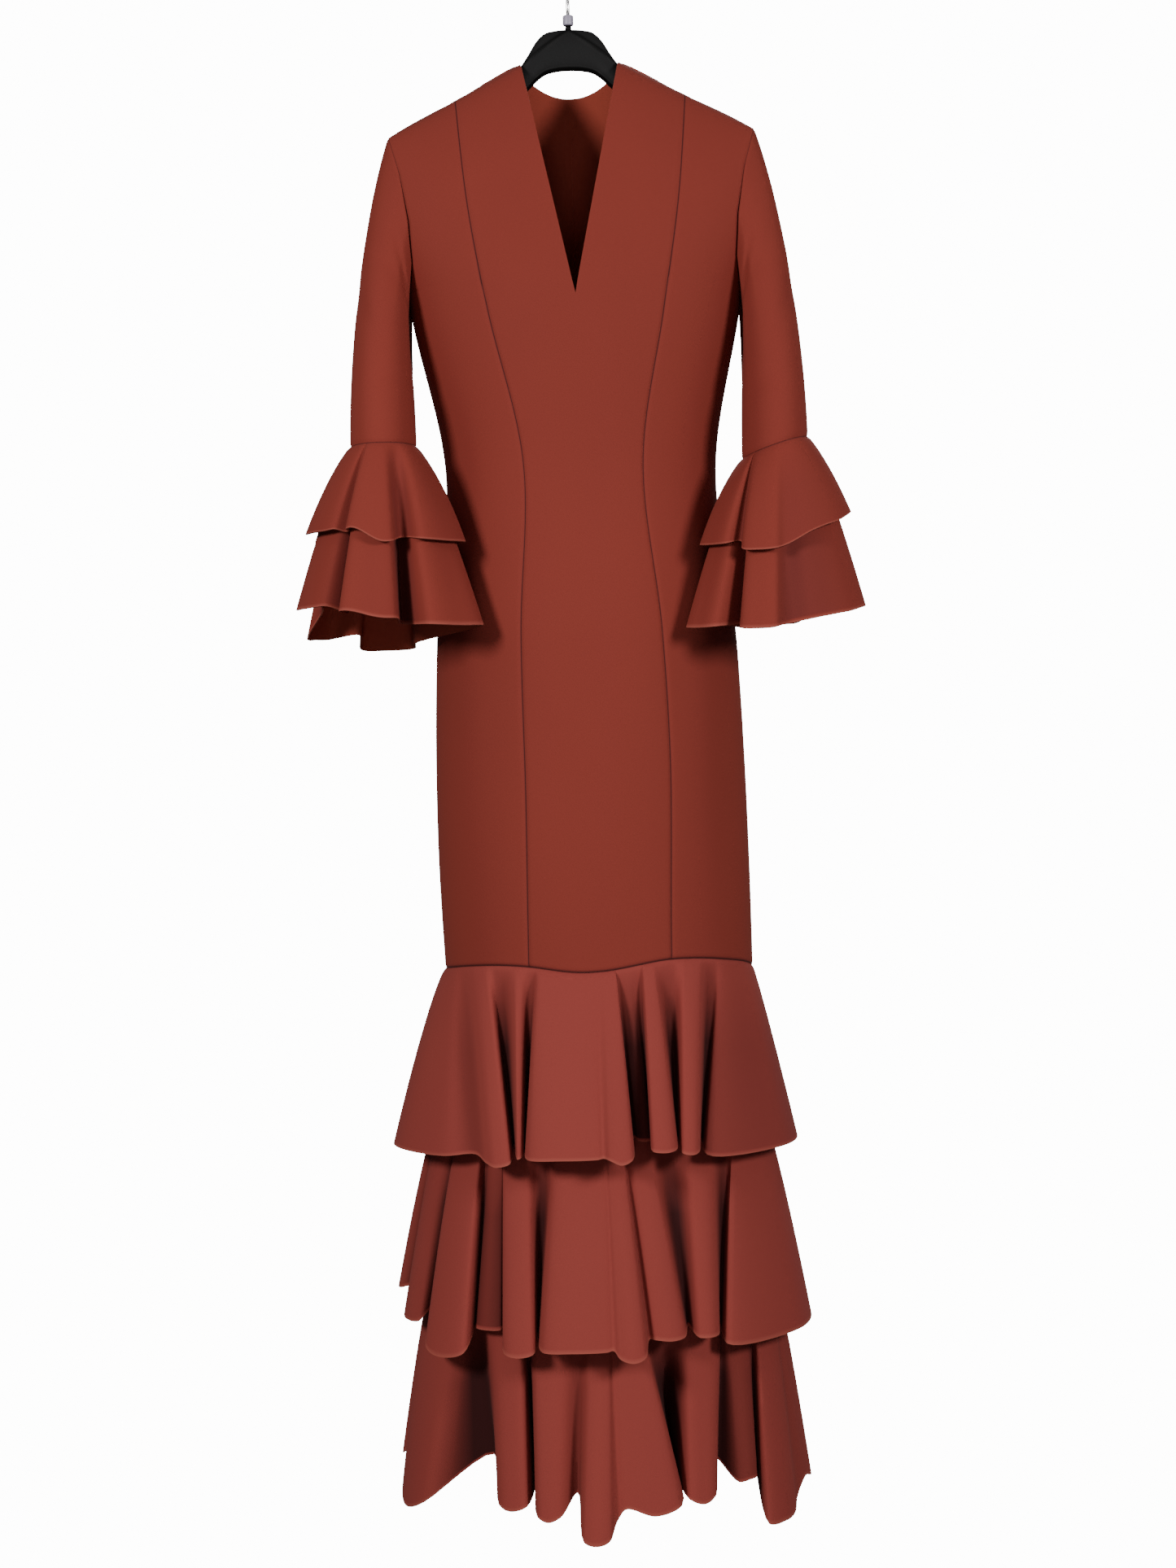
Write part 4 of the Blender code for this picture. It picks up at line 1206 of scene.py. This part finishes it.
# Studio
# A plain pale floor under the hanging dress, with two soft keys from the front corners, a low
# fill in front and a wide light behind. The camera looks level from the front, rolled a little.
FLOOR_Z = -1.750
FLOOR_RADIUS = 60
FLOOR_SIDES = 96
FLOOR_COLOUR = (0.86, 0.855, 0.845, 1.0)
FLOOR_FAR = (0, 0, 0, 1)
CAMERA_Z = -0.855
CAMERA_AWAY = 2.90
CAMERA_ROLL = 1.5
IMAGE_HEIGHT = 1927
FOCAL_PIXELS = 3494
PALE = 14.0
PALE_TINT = (1.0, 0.995, 0.985, 1.0)
FLOOR_FADE = (0.35, 1.5)
AMBIENT = 0.19
WARM = (1.0, 0.975, 0.95)
LOW_WARM = (1.0, 0.97, 0.95)
WHITE = (1.0, 1.0, 1.0)


def soft_light(name, place, target, size, power, colour):
    data = bpy.data.lights.new(name, "AREA")
    data.shape = "DISK"
    data.size = size
    data.energy = power
    data.color = colour
    lamp = bpy.data.objects.new(name, data)
    lamp.location = place
    lamp.rotation_euler = (Vector(target) - Vector(place)).to_track_quat("-Z", "Y").to_euler()
    bpy.context.scene.collection.objects.link(lamp)


def pale_floor():
    bm = bmesh.new()
    bmesh.ops.create_circle(bm, cap_ends=True, radius=FLOOR_RADIUS, segments=FLOOR_SIDES)
    bmesh.ops.translate(bm, verts=bm.verts, vec=(0, 0, FLOOR_Z))
    finish = plain_material("pale floor", FLOOR_COLOUR, 0.9)
    tree = finish.node_tree
    shader = tree.nodes["Principled BSDF"]
    place = tree.nodes.new("ShaderNodeTexCoord")
    away = tree.nodes.new("ShaderNodeVectorMath")
    away.operation = "LENGTH"
    fade = tree.nodes.new("ShaderNodeMapRange")
    fade.interpolation_type = "SMOOTHSTEP"
    fade.inputs["From Min"].default_value = FLOOR_FADE[0]
    fade.inputs["From Max"].default_value = FLOOR_FADE[1]
    tone = tree.nodes.new("ShaderNodeMix")
    tone.data_type = "RGBA"
    tone.inputs["A"].default_value = FLOOR_COLOUR
    tone.inputs["B"].default_value = FLOOR_FAR
    sight = tree.nodes.new("ShaderNodeLightPath")
    glow = tree.nodes.new("ShaderNodeMath")
    glow.operation = "MULTIPLY"
    level = tree.nodes.new("ShaderNodeMath")
    level.operation = "MULTIPLY"
    level.inputs[1].default_value = PALE
    tree.links.new(place.outputs["Object"], away.inputs[0])
    tree.links.new(away.outputs["Value"], fade.inputs["Value"])
    tree.links.new(fade.outputs["Result"], tone.inputs["Factor"])
    tree.links.new(tone.outputs["Result"], shader.inputs["Base Color"])
    tree.links.new(fade.outputs["Result"], glow.inputs[0])
    tree.links.new(sight.outputs["Is Camera Ray"], glow.inputs[1])
    tree.links.new(glow.outputs["Value"], level.inputs[0])
    shader.inputs["Emission Color"].default_value = PALE_TINT
    tree.links.new(level.outputs["Value"], shader.inputs["Emission Strength"])
    floor = object_from(bm, "pale_floor", finish)


def pale_world():
    world = bpy.data.worlds.new("pale studio")
    world.use_nodes = True
    tree = world.node_tree
    tree.nodes["Background"].inputs["Color"].default_value = PALE_TINT
    sight = tree.nodes.new("ShaderNodeLightPath")
    level = tree.nodes.new("ShaderNodeMapRange")
    level.inputs["To Min"].default_value = AMBIENT
    level.inputs["To Max"].default_value = PALE
    tree.links.new(sight.outputs["Is Camera Ray"], level.inputs["Value"])
    tree.links.new(level.outputs["Result"], tree.nodes["Background"].inputs["Strength"])
    bpy.context.scene.world = world


def photo_camera():
    data = bpy.data.cameras.new("photo camera")
    data.sensor_fit = "VERTICAL"
    data.angle = 2 * math.atan(IMAGE_HEIGHT / 2 / FOCAL_PIXELS)
    data.clip_end = 60
    camera = bpy.data.objects.new("photo camera", data)
    upright = Matrix.Rotation(math.radians(90), 4, "X")
    roll = Matrix.Rotation(math.radians(-CAMERA_ROLL), 4, "Z")
    camera.matrix_world = Matrix.Translation((0, -CAMERA_AWAY, CAMERA_Z)) @ upright @ roll
    bpy.context.scene.collection.objects.link(camera)
    bpy.context.scene.camera = camera


pale_floor()
pale_world()
for light in (
    ("key", (-1.90, -2.2, 0.10), (0, 0, -1.0), 0.7, 68, WARM),
    ("second key", (2.05, -2.2, 0.0), (0, 0, -1.0), 0.7, 64, WARM),
    ("low fill", (0.0, -2.7, -1.60), (0, 0, -1.1), 0.8, 12, LOW_WARM),
    ("back", (0.4, 2.6, 1.2), (0, 0, -0.8), 1.6, 60, WHITE),
):
    soft_light(*light)
photo_camera()
